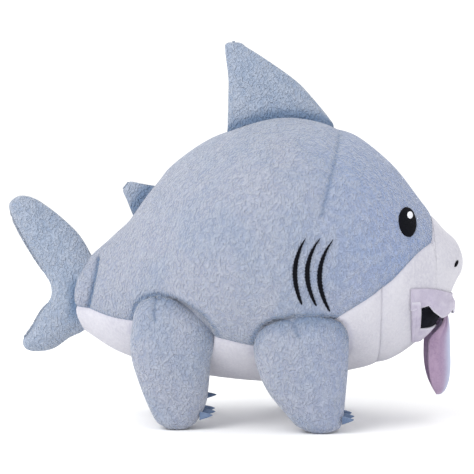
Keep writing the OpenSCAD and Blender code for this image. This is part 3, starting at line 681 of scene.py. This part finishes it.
def cloth_trial(points, pinned, cap, ends, shrink=0.0):
    """Points of a closed tube of cloth after a short trial under pressure from inside. The
    solver leaves the cloth where it starts, to within rounding, so the shape comes from the
    levels, and all that changes it here is that the points that aren't pinned start further in
    by shrink. That step is at most cap, and it fades out over the given numbers of rows at the
    two ends."""
    rows, cols = points.shape[:2]
    start = points - shrink * outward_of(points) * ~pinned[..., None]
    flat = np.concatenate([start.reshape(-1, 3), start[0].mean(0)[None], start[-1].mean(0)[None]])
    mesh = bpy.data.meshes.new("cloth_trial")
    mesh.from_pydata((flat * CLOTH_SCALE).tolist(), [], closed_faces(rows, cols))
    trial = bpy.data.objects.new("cloth_trial", mesh)
    bpy.context.scene.collection.objects.link(trial)
    group = trial.vertex_groups.new(name="pin")
    for index in np.flatnonzero(pinned.ravel()).tolist() + [rows * cols, rows * cols + 1]:
        group.add([index], 1.0, "REPLACE")
    cloth = trial.modifiers.new("cloth", "CLOTH")
    settings = cloth.settings
    settings.vertex_group_mass = "pin"
    settings.use_pressure = True
    settings.uniform_pressure_force = CLOTH_PRESSURE
    settings.effector_weights.gravity = 0
    settings.tension_stiffness = 12
    settings.compression_stiffness = 12
    settings.bending_stiffness = 0.4
    settings.mass = 0.12
    settings.quality = 5
    cloth.collision_settings.use_collision = False
    cloth.point_cache.frame_start = 1
    cloth.point_cache.frame_end = CLOTH_FRAMES
    for number in range(1, CLOTH_FRAMES + 1):
        bpy.context.scene.frame_set(number)
    graph = bpy.context.evaluated_depsgraph_get()
    shaped = trial.evaluated_get(graph).to_mesh()
    co = np.zeros(len(flat) * 3, np.float32)
    shaped.vertices.foreach_get("co", co)
    trial.evaluated_get(graph).to_mesh_clear()
    bpy.data.objects.remove(trial)
    bpy.context.scene.frame_set(1)
    moved = co.astype(float).reshape(-1, 3)[:rows * cols].reshape(points.shape) / CLOTH_SCALE
    row = np.arange(rows)
    fade = np.clip(np.minimum(row / ends[0], (rows - 1 - row) / ends[1]) - 0.35, 0, 1)
    step = (moved - points) * eased(fade)[:, None, None]
    far = np.linalg.norm(step, axis=-1, keepdims=True)
    return points + step * np.minimum(1, cap / np.maximum(far, 1e-9))


def outward_of(points):
    """Outward normals of a tube of points, whose columns go round it."""
    ring = np.concatenate([points[:, -1:], points, points[:, :1]], 1)
    n = normals_of(ring)[:, 1:-1]
    out = points - points.mean((0, 1))
    return n * np.sign((n * out).sum())


def plush_panel(name, points, material, crease, thickness, nodes,
                wrap=False, turned=False):
    """Plush panel, thickened inwards and baked in place; it hides the nodes that it stands for."""
    faces = grid_faces(*points.shape[:2], wrap=wrap, turned=turned)
    piece = mesh_piece(name, points, faces, material, {"crease": crease})
    cloth_layer(piece, thickness)
    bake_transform(piece)
    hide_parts(*nodes)


# ---- legs ----------------------------------------------------------------------------------

# Levels of a leg: height (as a share of the hip's height below it and of the swing radius above
# it), rear and front edge as shares of the swing radius, inner and outer face as shares of the
# leg's thickness.
FRONT_LEVELS = np.array([
    [-1, 0.3, 0.3, 0.48, 0.48], [-0.995, 0.12, 0.52, 0.22, 0.74], [-0.965, 0, 0.66, 0.1, 0.85],
    [-0.9, -0.15, 0.735, 0.05, 0.91], [-0.74, -0.325, 0.775, 0.02, 0.95],
    [-0.44, -0.625, 0.812, 0, 1], [-0.1, -0.825, 0.85, 0, 1.01], [0.25, -0.887, 0.863, 0, 1],
    [0.5, -0.83, 0.85, 0.02, 0.98], [0.69, -0.68, 0.76, 0.08, 0.955],
    [0.8, -0.42, 0.6, 0.2, 0.925], [0.845, -0.12, 0.38, 0.4, 0.88],
    [0.86, 0.13, 0.13, 0.66, 0.66]])
REAR_LEVELS = np.array([
    [-1, 0.09, 0.09, 0.48, 0.48], [-0.995, -0.08, 0.28, 0.25, 0.72],
    [-0.965, -0.22, 0.41, 0.14, 0.82], [-0.91, -0.335, 0.51, 0.09, 0.88],
    [-0.719, -0.494, 0.67, 0.05, 0.93], [-0.5, -0.636, 0.727, 0.02, 0.97],
    [-0.25, -0.766, 0.76, 0, 1], [-0.047, -0.805, 0.831, 0, 1], [0.208, -0.779, 0.805, 0, 0.98],
    [0.494, -0.727, 0.58, 0.04, 0.93], [0.701, -0.62, 0.28, 0.12, 0.88],
    [0.8, -0.47, 0.05, 0.25, 0.83], [0.835, -0.35, -0.12, 0.4, 0.78],
    [0.845, -0.23, -0.23, 0.6, 0.6]])
LEG_SQUARE = 0.85       # power that squares a leg's section up from an ellipse
# radius that the top of each leg turns in
SWING_R = {"front": 40 * MM, "rear": 38.5 * MM}
LEG_LEVELS = {"front": FRONT_LEVELS, "rear": REAR_LEVELS}
# small darts at the top of each leg: two ends, as distances from the hip along x and z
LEG_DARTS = {"front": [[-7.6, 32], [-5.5, 26], [-3.4, 19.5]],
             "rear": [[-10.7, 31], [-11.7, 23], [-12.4, 14]]}


def leg_place(which):
    """Hip, swing radius, inner face and thickness of a right leg."""
    low, high = (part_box(f"{which}_leg_right_{part}") for part in ("inner", "outer"))
    return (pivot(f"{which}_leg_right_swing"), SWING_R[which], -low[1].y,
            low[1].y - high[0].y)


def leg_grid(which, rows=84, cols=96):
    """Tube of points of a right leg: a squared-up ellipse at each height, whose edges follow the
    levels; the column at turn 0 is the front edge and at 90 the outer face."""
    hip, r, face, thick = leg_place(which)
    v = smooth(LEG_LEVELS[which], np.linspace(0, len(LEG_LEVELS[which]) - 1, rows))[:, None, :]
    a = np.radians(np.linspace(0, 360, cols, endpoint=False))[None, :]
    x = hip[0] + r * ((v[..., 1] + v[..., 2]) / 2
                      + (v[..., 2] - v[..., 1]) / 2 * power(np.cos(a), LEG_SQUARE))
    y = face + thick * ((v[..., 3] + v[..., 4]) / 2
                        + (v[..., 4] - v[..., 3]) / 2 * power(np.sin(a), LEG_SQUARE))
    z = hip[2] + v[..., 0] * np.where(v[..., 0] < 0, hip[2], r) + 0 * a
    return np.stack([x, -y, np.maximum(z, 0)], -1)


def leg_root(which):
    """Seam of a leg's top on the body's side: the leg's upper outline, laid on the body."""
    hip, r = pivot(f"{which}_leg_right_swing"), SWING_R[which]
    v = smooth(LEG_LEVELS[which], np.linspace(5, len(LEG_LEVELS[which]) - 1, 160))
    v = v[v[:, 0] > 0.1]
    z = hip[2] + r * np.concatenate([v[:, 0], v[::-1, 0]])
    x = hip[0] + r * np.concatenate([v[:, 1], v[::-1, 2]])
    return side_point(x, z)


LEG_ROOTS = {which: leg_root(which) for which in LEG_LEVELS}


def make_leg(which):
    """Outer and inner plush panel of the right and the left leg, with a dart at the hip."""
    points = leg_grid(which)
    hip, r = pivot(f"{which}_leg_right_swing"), SWING_R[which]
    rows, cols = points.shape[:2]
    pinned = np.zeros((rows, cols), bool)
    pinned[:, [0, cols // 2]] = True
    pinned[:9] = True
    pinned[-5:] = True
    points = cloth_trial(points, pinned, 3.5 * MM, (12, 8), 0.8 * MM)
    points[..., 2] = np.maximum(points[..., 2], 0)
    out = outward_of(points)
    seams = [(points[:, 0], 1.1, 0.8, 1.2, 5), (points[:, cols // 2], 1.1, 0.8, 1.2, 5)]
    dart = polyline([[hip[0] + x * MM, hip[2] + z * MM] for x, z in LEG_DARTS[which]], 30)
    outer = points[:, 1:cols // 2].reshape(-1, 3)
    nearest = ((outer[None, :, 0] - dart[:, None, 0]) ** 2
               + (outer[None, :, 2] - dart[:, None, 1]) ** 2).argmin(1)
    seams.append((outer[nearest], 0.9, 1.0, 1.3, 5))
    points, crease = sewn(points, out, seams)
    points[..., 2] = np.maximum(points[..., 2], 0)
    # painted shade on the leg, fading over about 8 mm below its top seam
    crease = np.maximum(crease, nearness(points, LEG_ROOTS[which], 8 * MM) * 0.7)
    for side, on_left in SIDES:
        body = f"{which}_leg_{side}"
        for part, start in (("outer", 0), ("inner", cols // 2)):
            pick = np.arange(start, start + cols // 2 + 1) % cols
            grid = mirrored(points[:, pick]) if on_left else points[:, pick]
            nodes = [f"{body}_{part}"] + ([f"{body}_stuffing"] if part == "outer" else [])
            plush_panel(f"{body}_plush_{part}", grid, BLUE, crease[:, pick], 1.6 * MM,
                        nodes, turned=on_left)


# ---- claws ---------------------------------------------------------------------------------

# height above the ground and length of each claw, from the innermost out
CLAWS = {"front": [[12, 5], [10.8, 6.5], [9.5, 6]], "rear": [[13, 7], [11.8, 8], [10.3, 7]]}
CLAW_STEP = 8 * MM      # distance from claw to claw
CLAW_ROOT = 2.5 * MM    # length of each claw inside the foot
CLAW_HALF = 3 * MM      # half a claw's height at its root


def claw_root(which, z):
    """Front of the foot at a height."""
    edge = leg_grid(which)[:, 0]
    order = np.argsort(edge[:, 2])
    return float(np.interp(z, edge[order, 2], edge[order, 0]))


def make_claws(which):
    """Felt claws: each is a flat wedge whose height falls to a blunt tip, with its root in the
    foot: half its height is CLAW_HALF times (1 - t) to the power 0.7, at each share t of its
    length."""
    for side, on_left in SIDES:
        body = f"{which}_leg_{side}"
        low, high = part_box(f"{body}_claws")
        middle = (low.y + high.y) / 2
        sign = 1 if on_left else -1
        points, rim, faces = [], [], []
        rows, cols = 14, 20
        for number, (up, length) in enumerate(CLAWS[which]):
            t = np.linspace(0, 1, rows)[:, None]
            a = np.radians(np.linspace(0, 360, cols, endpoint=False))[None, :]
            y = middle + sign * CLAW_STEP * (number - 1)
            root = claw_root(which, up * MM) - CLAW_ROOT
            reach = length * MM + CLAW_ROOT
            x = root + reach * t + 0 * a
            half = CLAW_HALF * (1 - t) ** 0.7 + 0.05 * MM
            z = up * MM + half * np.sin(a) + 0.5 * MM * t
            thick = 1.0 * MM * (1 - 0.45 * t)
            y = y + thick * power(np.cos(a), 0.7) * np.minimum(1, half / (1.2 * MM))
            grid = np.stack([x, y, z], -1)
            start = len(points) * rows * cols
            ends = [start + np.arange(cols), start + (rows - 1) * cols + np.arange(cols)]
            faces += (grid_faces(rows, cols, wrap=True, turned=not on_left) + start).tolist()
            faces += [ends[0].tolist() if on_left else ends[0][::-1].tolist(),
                      ends[1][::-1].tolist() if on_left else ends[1].tolist()]
            points.append(grid)
            rim.append(np.clip(np.abs(np.sin(a)) * 3 - 2.2, 0, 1) + 0 * t)
        piece = mesh_piece(f"{body}_claw_felt", np.array(points), faces, STEEL,
                           {"rim": np.array(rim)})
        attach(piece, body)
        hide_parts(f"{body}_claws")


# ---- fins ----------------------------------------------------------------------------------

# Levels of a fin: height, rear edge, front edge and half thickness, as shares of its size.
DORSAL_LEVELS = np.array([
    [-0.16, -0.01, 1.02, 1.05], [0, 0, 1, 1.02], [0.07, 0, 0.97, 1], [0.2, 0.003, 0.89, 0.97],
    [0.35, 0.005, 0.79, 0.9], [0.5, 0.008, 0.68, 0.82], [0.65, 0, 0.53, 0.72],
    [0.84, -0.02, 0.31, 0.54], [0.94, -0.026, 0.185, 0.42], [0.975, -0.016, 0.155, 0.32],
    [0.993, 0.005, 0.125, 0.2], [1, 0.035, 0.09, 0.06], [1.001, 0.0625, 0.0625, 0]])
REAR_FIN_LEVELS = np.array([
    [-0.2, -0.02, 1.02, 1.05], [0, 0, 1, 1], [0.3, 0.1, 0.89, 0.95], [0.6, 0.21, 0.79, 0.82],
    [0.88, 0.3, 0.7, 0.66], [0.98, 0.34, 0.66, 0.45], [1.03, 0.4, 0.6, 0.12],
    [1.032, 0.5, 0.5, 0]])


def fin_grid(levels, length, tall, half, place, slope, rows=80, cols=80):
    """Tube of points of a fin that stands on its seam: at each height a lens between the rear
    and front edge, whose thickness is half times the sine of the turn to the power 0.8; the
    whole fin is turned by slope about the seam's rear end."""
    v = smooth(levels, np.linspace(0, len(levels) - 1, rows))[:, None, :]
    a = np.radians(np.linspace(0, 360, cols, endpoint=False))[None, :]
    x = length * ((v[..., 1] + v[..., 2]) / 2 + (v[..., 2] - v[..., 1]) / 2 * np.cos(a))
    y = -half * v[..., 3] * power(np.sin(a), 0.8)
    z = tall * v[..., 0] + 0 * a
    c, s = math.cos(math.radians(slope)), math.sin(math.radians(slope))
    return np.stack([place[0] + x * c - z * s, y, place[2] + x * s + z * c], -1)


def fin_nodes(name, side):
    """Nodes that a fin's panel stands for: the right one also hides the stuffing."""
    return [f"{name}_{side}"] + ([f"{name}_stuffing"] if side == "right" else [])


def make_fin(name, points, root, cap, deep):
    """Left and right plush panel of a fin, seamed round its edge, with painted shade at its root."""
    rows, cols = points.shape[:2]
    pinned = np.zeros((rows, cols), bool)
    pinned[:, [0, cols // 2]] = True
    pinned[:3] = True
    pinned[-(rows // 5):] = True
    points = cloth_trial(points, pinned, cap, (6, rows // 4))
    seams = [(points[:, 0], deep, 0.3, 1.0, 3), (points[:, cols // 2], deep, 0.3, 1.0, 3)]
    points, crease = sewn(points, outward_of(points), seams)
    # painted shade at the fin's root
    crease = np.maximum(crease, nearness(points, root, 5 * MM) * 0.9)
    for side, start in (("right", 0), ("left", cols // 2)):
        pick = np.arange(start, start + cols // 2 + 1) % cols
        plush_panel(f"{name}_plush_{side}", points[:, pick], BLUE_FINS, crease[:, pick],
                    1.2 * MM, fin_nodes(name, side))


def root_line(x, y):
    """Line on the body's right side over the given places along it and from its middle."""
    ring = ring_at(x)
    q = smooth(STATIONS, ring)
    turn = np.degrees(np.arcsin(np.clip(y / (BODY_W / 2 * q[..., 3]), 0, 1)))
    return body_point(ring, turn)


DORSAL_L, DORSAL_H, DORSAL_T = 78 * MM, 61 * MM, 9 * MM
REAR_FIN_L, REAR_FIN_H, REAR_FIN_T = 30 * MM, 19 * MM, 4 * MM
round_half = np.radians(np.linspace(0, 180, 80))
DORSAL_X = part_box("dorsal_fin_right")[0].x
DORSAL_ROOT = root_line(DORSAL_X + DORSAL_L * (0.5 + 0.5 * np.cos(round_half)),
                        DORSAL_T * 1.02 * np.sin(round_half) ** 0.8)
REAR_FIN_AT = pivot("rear_fin_bend")
REAR_FIN_SLOPE = math.degrees(math.atan2(JOINTS["rear_fin_bend"]["axis"][2],
                                         JOINTS["rear_fin_bend"]["axis"][0]))
rear_run = REAR_FIN_L * math.cos(math.radians(REAR_FIN_SLOPE))
REAR_ROOT = root_line(REAR_FIN_AT[0] + rear_run * (0.5 + 0.5 * np.cos(round_half)) - 4 * MM,
                      REAR_FIN_T * np.sin(round_half) ** 0.8)
BODY_SEAMS += [(DORSAL_ROOT, 1.6, 1.4, 2.0, 7), (REAR_ROOT, 1.6, 3.4, 1.8, 9)]


def make_fins():
    """The dorsal fin and the small rear fin, each standing on its fold line."""
    fold = pivot("dorsal_fin_bend")
    points = fin_grid(DORSAL_LEVELS, DORSAL_L, DORSAL_H, DORSAL_T, (DORSAL_X, 0, fold[2]), 0)
    make_fin("dorsal_fin", points, DORSAL_ROOT,
             2.5 * MM, 0.9)
    points = fin_grid(REAR_FIN_LEVELS, REAR_FIN_L, REAR_FIN_H, REAR_FIN_T, REAR_FIN_AT,
                      REAR_FIN_SLOPE, 50, 60)
    make_fin("rear_fin", points, REAR_ROOT,
             1.5 * MM, 0.6)


# Outline of the tail fin round its swing line, in millimetres: upper lobe, notch, lower lobe.
TAIL_OUTLINE = np.array([
    [7, 22], [2, 34], [-5, 45], [-15, 55], [-26, 64], [-37, 71], [-47, 73], [-54, 69],
    [-55.2, 63], [-50, 50], [-40, 32], [-30, 16], [-26, 9], [-25, 2], [-27, -4], [-34, -13],
    [-41, -25], [-46, -33], [-44, -39], [-36, -41], [-24, -39], [-12, -31], [-2, -26], [6, -18],
    [7.5, 2]]) * MM
TAIL_MIDDLE = np.array([-6, 4]) * MM
TAIL_T = 8.5 * MM       # half the tail fin's thickness
TAIL_EDGE = 15 * MM     # distance from the seam at which it is full


def make_tail():
    """Tail fin: points on lines from its middle to its outline; half the thickness at each is
    the full one times sqrt(1 - (1 - d) ** 2), where d is the distance to the outline as a share
    of the edge's width."""
    swing = pivot("tail_sway")
    cols = 220
    closed = np.concatenate([TAIL_OUTLINE, TAIL_OUTLINE[:3]])
    at = np.linspace(1, len(TAIL_OUTLINE) + 1, cols, endpoint=False)
    outline = smooth(closed, at)
    share = np.concatenate([np.linspace(0.0, 0.7, 18), 0.7 + 0.3 * crowded(29, at_start=False)[1:]])
    flat = TAIL_MIDDLE + (outline - TAIL_MIDDLE)[None, :, :] * share[:, None, None]
    gap = np.sqrt(((flat.reshape(-1, 1, 2) - outline[None, :, :]) ** 2).sum(-1)).min(1)
    d = np.clip(gap.reshape(flat.shape[:2]) / TAIL_EDGE, 0, 1)
    half = TAIL_T * np.sqrt(1 - (1 - d) ** 2)
    right = np.stack([swing[0] + flat[..., 0], -half, swing[2] + flat[..., 1]], -1)
    root = body_point(np.full(160, 0.5), np.linspace(-180, 180, 160))
    for side, on_left in SIDES:
        points = mirrored(right) if on_left else right
        # painted shade where the tail fin meets the body
        crease = nearness(points, root, 5 * MM) * 0.9
        plush_panel(f"tail_fin_plush_{side}", points, BLUE_FINS, crease, 1.2 * MM,
                    fin_nodes("tail_fin", side), wrap=True, turned=on_left)


# ---- mouth ---------------------------------------------------------------------------------

# Muzzle at a few heights: height, depth ahead of the corners of the mouth and half width there,
# as shares of the body's height, length and half width.
MUZZLE = np.array([
    [0.1495, 0.0141, 0.247], [0.1907, 0.0423, 0.442], [0.2216, 0.0599, 0.532],
    [0.2629, 0.0757, 0.617], [0.3041, 0.0915, 0.675], [0.3505, 0.1056, 0.714]])
MOUTH_X = along(0.8662)
MOUTH_TOP, LIP_LOW, LOWER_LIP_TOP = height(0.3454), height(0.2835), height(0.2165)
TOOTH_H = 6 * MM
TOOTH_TURN = 26.0
FELT_T = 1.5 * MM


def muzzle_point(turn, z, out):
    """Point round the muzzle: at each height an ellipse about the line between the corners of
    the mouth, out metres larger than the muzzle, and past the corners the body's side."""
    share = (z - BELLY_Z) / BODY_H
    depth = np.interp(share, MUZZLE[:, 0], MUZZLE[:, 1]) * BODY_L + out
    half = np.interp(share, MUZZLE[:, 0], MUZZLE[:, 2]) * BODY_W / 2 + out
    a = np.radians(turn)
    x = MOUTH_X + depth * np.cos(a)
    y = half * np.sin(a)
    behind = np.abs(turn) > 90
    cheek = -side_point(x, z + 0 * a)[..., 1] + out
    return np.stack([x, np.where(behind, np.sign(turn) * cheek, y), z + 0 * a], -1)


def on_snout(turn, z, out):
    """Point of the snout's surface at a height, on the ray from between the corners of the
    mouth at a turn from straight ahead: found by halving the step along the ray."""
    near, far = np.zeros(turn.shape), np.full(turn.shape, 0.09)
    for _ in range(26):
        reach = (near + far) / 2
        x = MOUTH_X + reach * np.cos(np.radians(turn))
        y = np.abs(reach * np.sin(np.radians(turn)))
        q, middle, tall = section(ring_at(x))
        inside = ((z - middle) / tall) ** 2 + (2 * y / (BODY_W * q[..., 3])) ** 2 < 1
        inside &= x < NOSE_X
        near, far = np.where(inside, reach, near), np.where(inside, far, reach)
    reach = near + out
    return np.stack([MOUTH_X + reach * np.cos(np.radians(turn)),
                     reach * np.sin(np.radians(turn)), z], -1)


def felt_sheet(name, points, material, thickness, node, rim=None):
    """Sheet of felt over a grid of points, thickened inwards."""
    turned = normals_of(points)[..., 0].sum() < 0
    values = {"rim": np.zeros(points.shape[:2]) if rim is None else rim}
    piece = mesh_piece(name, points, grid_faces(*points.shape[:2], turned=turned), material,
                       values)
    cloth_layer(piece, thickness)
    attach(piece, "torso")
    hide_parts(node)


def make_lining():
    """Black lining of the mouth, a band of the muzzle."""
    turns = np.linspace(-82, 82, 90)[None, :]
    z = np.linspace(height(0.19), height(0.30), 24)[:, None] + 0 * turns
    lining = muzzle_point(turns, z, 1.0 * MM)
    felt_sheet("mouth_felt", lining, BLACK_FELT, 0.6 * MM, "mouth_lining")


def make_lower_lip():
    """Lower lip: a band of the muzzle whose top edge rises at the corners of the mouth."""
    turns = np.linspace(-97, 97, 150)[None, :]
    corner = eased(np.clip((np.abs(turns) - 78) / 8, 0, 1))
    top = LOWER_LIP_TOP + (height(0.325) - LOWER_LIP_TOP) * corner
    bottom = LOWER_LIP_TOP - 0.0567 * BODY_H
    share = np.linspace(0, 1, 24)[:, None]
    z = bottom + (top - bottom) * share
    lip = muzzle_point(turns, z, 1.0 * MM + FELT_T)
    rim = np.clip((share - 0.9) * 10, 0, 1) + 0 * turns
    felt_sheet("lower_lip_felt", lip, LILAC, FELT_T, "lower_lip",
               rim)


def make_upper_lip():
    """Upper lip, cut into even teeth: it lies on the snout at its top edge and at its ends, and
    hangs free below, as an ellipse round the corners of the mouth."""
    turns = np.linspace(-94, 94, 141)[None, :]
    t = np.abs(turns) / TOOTH_TURN
    saw = np.abs(t - 2 * np.floor(t / 2) - 1)
    edge = LIP_LOW - TOOTH_H * saw ** 0.9
    share = np.linspace(0, 1, 26)[:, None]
    z = MOUTH_TOP + (edge - MOUTH_TOP) * share
    down = (MOUTH_TOP - z) / (MOUTH_TOP - LIP_LOW)
    aside = np.sin(np.radians(turns)) ** 2
    z = z + (5.5 * aside ** 3 - 2.5 * (1 - aside) * (1 - share)) * MM
    a = np.radians(turns)
    out = 1.1 * MM + FELT_T
    x = MOUTH_X + (BODY_L * (0.1056 - 0.0021 * down) + out) * np.cos(a)
    y = (BODY_W / 2 * (0.708 - 0.0325 * down) + out) * np.sin(a)
    hanging = np.stack([x, y, z + 0 * a], -1)
    lying = on_snout(turns + 0 * z, z + 0 * turns, FELT_T + (0.3 + 0.9 * share) * MM)
    free = np.clip(share * 2.2, 0, 1) * np.clip((88 - np.abs(turns)) / 22, 0, 1)
    free = eased(free)[..., None]
    flap = lying + (hanging - lying) * free
    rim = np.clip((share - 0.93) * 14, 0, 1) + 0 * turns
    felt_sheet("upper_lip_felt", flap, LILAC, FELT_T, "upper_lip",
               rim)


# Levels of the tongue: drop below its fold as a share of its length, its side edges and its
# front from the fold, and its half width, in millimetres.
TONGUE_LEVELS = np.array([
    [-0.03, -1, 2.7, 12], [0.02, -1.5, 3.2, 13], [0.1, -4, 4, 17], [0.16, -7, 4.3, 18.5],
    [0.27, -12, 4.5, 19.5], [0.45, -13, 4.8, 20], [0.65, -12.5, 5, 19.5], [0.82, -10.5, 4, 16],
    [0.94, -7.5, 1.5, 10], [1, -5.5, -1.5, 4]])
TONGUE_L = 58 * MM
TONGUE_T = 1.6 * MM


def tongue_grid(inset, rows=90, cols=72):
    """Layer of the tongue: at each level half an ellipse round the front of the mouth, between
    the two side edges."""
    fold = pivot("tongue_swing")
    v = smooth(TONGUE_LEVELS, np.linspace(0, len(TONGUE_LEVELS) - 1, rows))[:, None, :]
    a = np.radians(np.linspace(-90, 90, cols))[None, :]
    depth = np.maximum(v[..., 2] - v[..., 1] - inset / MM, 0.5) * MM
    half = v[..., 3] * MM - inset * 0.4
    return np.stack([fold[0] + v[..., 1] * MM + depth * np.cos(a), half * np.sin(a),
                     fold[2] - TONGUE_L * v[..., 0] + 0 * a], -1), a


def make_tongue():
    """Two layers of pink cloth, with a soft fold line down each half."""
    for layer, inset in (("front", 0.0), ("back", TONGUE_T + 0.2 * MM)):
        points, a = tongue_grid(inset)
        down = np.linspace(0, 1, points.shape[0])[:, None]
        # fold: a soft groove down each half, pressed into the cloth and darkened with painted shade
        fold = np.exp(-((np.abs(np.degrees(a)) - 58) / 7) ** 2) * np.clip(1.25 - 1.3 * down, 0, 1)
        normals = normals_of(points)
        forwards = 1 if normals[..., 0].sum() > 0 else -1
        points = points - normals * (fold * 0.8 * MM)[..., None] * forwards
        # painted highlight: a pale band down the tongue's front bend; the last rows add its sewn rim
        bend = 0.95 * np.exp(-(np.degrees(a) / 42) ** 4) * np.clip(down * 8, 0, 1)
        edge = bend + np.clip(down * 30 - 29, 0, 1)
        turned = normals_of(points)[..., 0].sum() < 0
        piece = mesh_piece(f"tongue_{layer}_cloth", points,
                           grid_faces(*points.shape[:2], turned=turned), PINK,
                           {"crease": fold, "rim": np.clip(edge, 0, 1)})
        cloth_layer(piece, TONGUE_T)
        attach(piece, "tongue")
        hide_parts(f"tongue_{layer}")


# ---- embroidery ----------------------------------------------------------------------------

THREAD_T = 0.9 * MM
EYE_X, EYE_Z = along(0.842), height(0.614)
EYE_L, EYE_W, EYE_TILT = 20 * MM, 13 * MM, 96.0


def oval_patch(name, x, z, long, wide, tilt, low, high, material, nodes, sides=(False,)):
    """Domed oval of thread: rings of an ellipse laid on the side of the head, raised by high
    times (1 - r ** 4) above low, with its rim turned down to the cloth."""
    rows, cols = 22, 56
    r = np.concatenate([np.linspace(0, 1, rows - 2), [1.02, 1.0]])[:, None]
    lift = np.concatenate([1 - np.linspace(0, 1, rows - 2) ** 4 * 0.45, [0.2, -0.6]])[:, None]
    a = np.radians(np.linspace(0, 360, cols, endpoint=False))[None, :]
    u, v = long / 2 * r * np.cos(a), wide / 2 * r * np.sin(a)
    t = math.radians(tilt)
    px, pz = x + u * math.cos(t) - v * math.sin(t), z + u * math.sin(t) + v * math.cos(t)
    ring, turn = side_turn(px, pz)
    right = body_point(ring, turn) + (low + high * lift)[..., None] * body_normal(ring, turn)
    right[0] = right[0].mean(0)
    uv = np.stack([v, u], -1)
    for on_left in sides:
        points = mirrored(right) if on_left else right
        turned = (normals_of(points)[..., 1] * (1 if on_left else -1)).sum() < 0
        label = name if len(sides) == 1 else f"{name}_{'left' if on_left else 'right'}"
        piece = mesh_piece(label, points, grid_faces(rows, cols, wrap=True, turned=turned),
                           material, uv=uv)
        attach(piece, "torso")
        stands_for = [n.format("left" if on_left else "right") for n in nodes]
        if stands_for:
            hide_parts(*stands_for)


# Gill stitches: top end, middle and lower end of each, as shares of the length and height.
GILLS = np.array([
    [[0.586, 0.5625], [0.5616, 0.449], [0.5792, 0.3254]],
    [[0.6215, 0.5625], [0.5915, 0.449], [0.6144, 0.3203]],
    [[0.6532, 0.5574], [0.6215, 0.4337], [0.6479, 0.2997]]])
GILL_W = 3.6 * MM


def gill_points(g):
    """Raised stroke of satin stitch: its middle line is the parabola through the three points,
    its half width swells as the sine along it with a small ragged edge, and it is domed across."""
    rows, cols = 150, 13
    t = np.linspace(0, 1, rows)[:, None]
    middle = 2 * g[1] - (g[0] + g[2]) / 2
    p = (1 - t) ** 2 * g[0] + 2 * t * (1 - t) * middle + t**2 * g[2]
    e = np.linspace(-1, 1, cols)[None, :]
    ragged = 1 + 0.3 * np.sin(t * 230 + 2 * e) * np.sin(t * 97 + 1.3)
    half = GILL_W / 2 * (0.2 + 0.8 * np.sin(np.pi * t) ** 0.6) * ragged
    x = along(p[:, :1]) + half * e
    z = height(p[:, 1:]) + 0 * e + 0.4 * MM * e
    ring, turn = side_turn(x, z)
    lift = THREAD_T * (1.15 - 0.9 * np.abs(e) ** 3) * np.clip(np.sin(np.pi * t) * 8, 0.3, 1)
    lift = np.where(np.abs(e) > 0.99, -0.4 * MM, lift)
    points = body_point(ring, turn) + lift[..., None] * body_normal(ring, turn)
    long = np.linalg.norm(np.diff(points[:, cols // 2], axis=0), axis=-1).sum()
    return points, np.stack([x - x.mean() + 0 * t, t * long + 0 * e], -1)


def make_gills():
    """Three gill stitches on each side, as one piece of thread a side."""
    for side, on_left in SIDES:
        grids, uvs, faces = [], [], []
        for g in GILLS:
            points, uv = gill_points(g)
            rows, cols = points.shape[:2]
            base = sum(grid.shape[0] * grid.shape[1] for grid in grids)
            points = mirrored(points) if on_left else points
            turned = (normals_of(points)[..., 1] * (1 if on_left else -1)).sum() < 0
            faces.append(grid_faces(rows, cols, turned=turned) + base)
            grids.append(points)
            uvs.append(uv)
        piece = mesh_piece(f"gill_thread_{side}", np.concatenate(grids), np.concatenate(faces),
                           BLACK_THREAD, uv=np.concatenate(uvs))
        cloth_layer(piece, 0.4 * MM)
        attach(piece, "torso")
        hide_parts(f"gill_stitches_{side}")


def make_embroidery():
    """Eyes with their highlights, nostrils and gills. The eye is a plain, nearly upright oval,
    a little shorter and wider than the CAD solid that it stands for."""
    both = (False, True)
    oval_patch("eye_thread", EYE_X, EYE_Z, EYE_L, EYE_W, EYE_TILT, 0.1 * MM, THREAD_T,
               BLACK_THREAD, ["eye_{}"], both)
    oval_patch("eye_highlight_thread", EYE_X + 1.5 * MM, EYE_Z + EYE_L * 0.22, EYE_L * 0.24,
               EYE_W * 0.32, EYE_TILT, 0.6 * MM, THREAD_T, WHITE_THREAD,
               ["eye_highlight_{}"], both)
    nostril_x, nostril_z = along(0.9718), height(0.4536)
    for on_left in both:
        side = "left" if on_left else "right"
        oval_patch(f"nostril_thread_{side}", nostril_x, nostril_z, 5 * MM, 2.0 * MM, 60,
                   0.1 * MM, THREAD_T, BLACK_THREAD, [] if on_left else ["nostrils"],
                   (on_left,))
    make_gills()


make_camera()
make_studio()
make_body()
make_fins()
make_tail()
for which_leg in ("front", "rear"):
    make_leg(which_leg)
    make_claws(which_leg)
make_lining()
make_lower_lip()
make_upper_lip()
make_tongue()
make_embroidery()
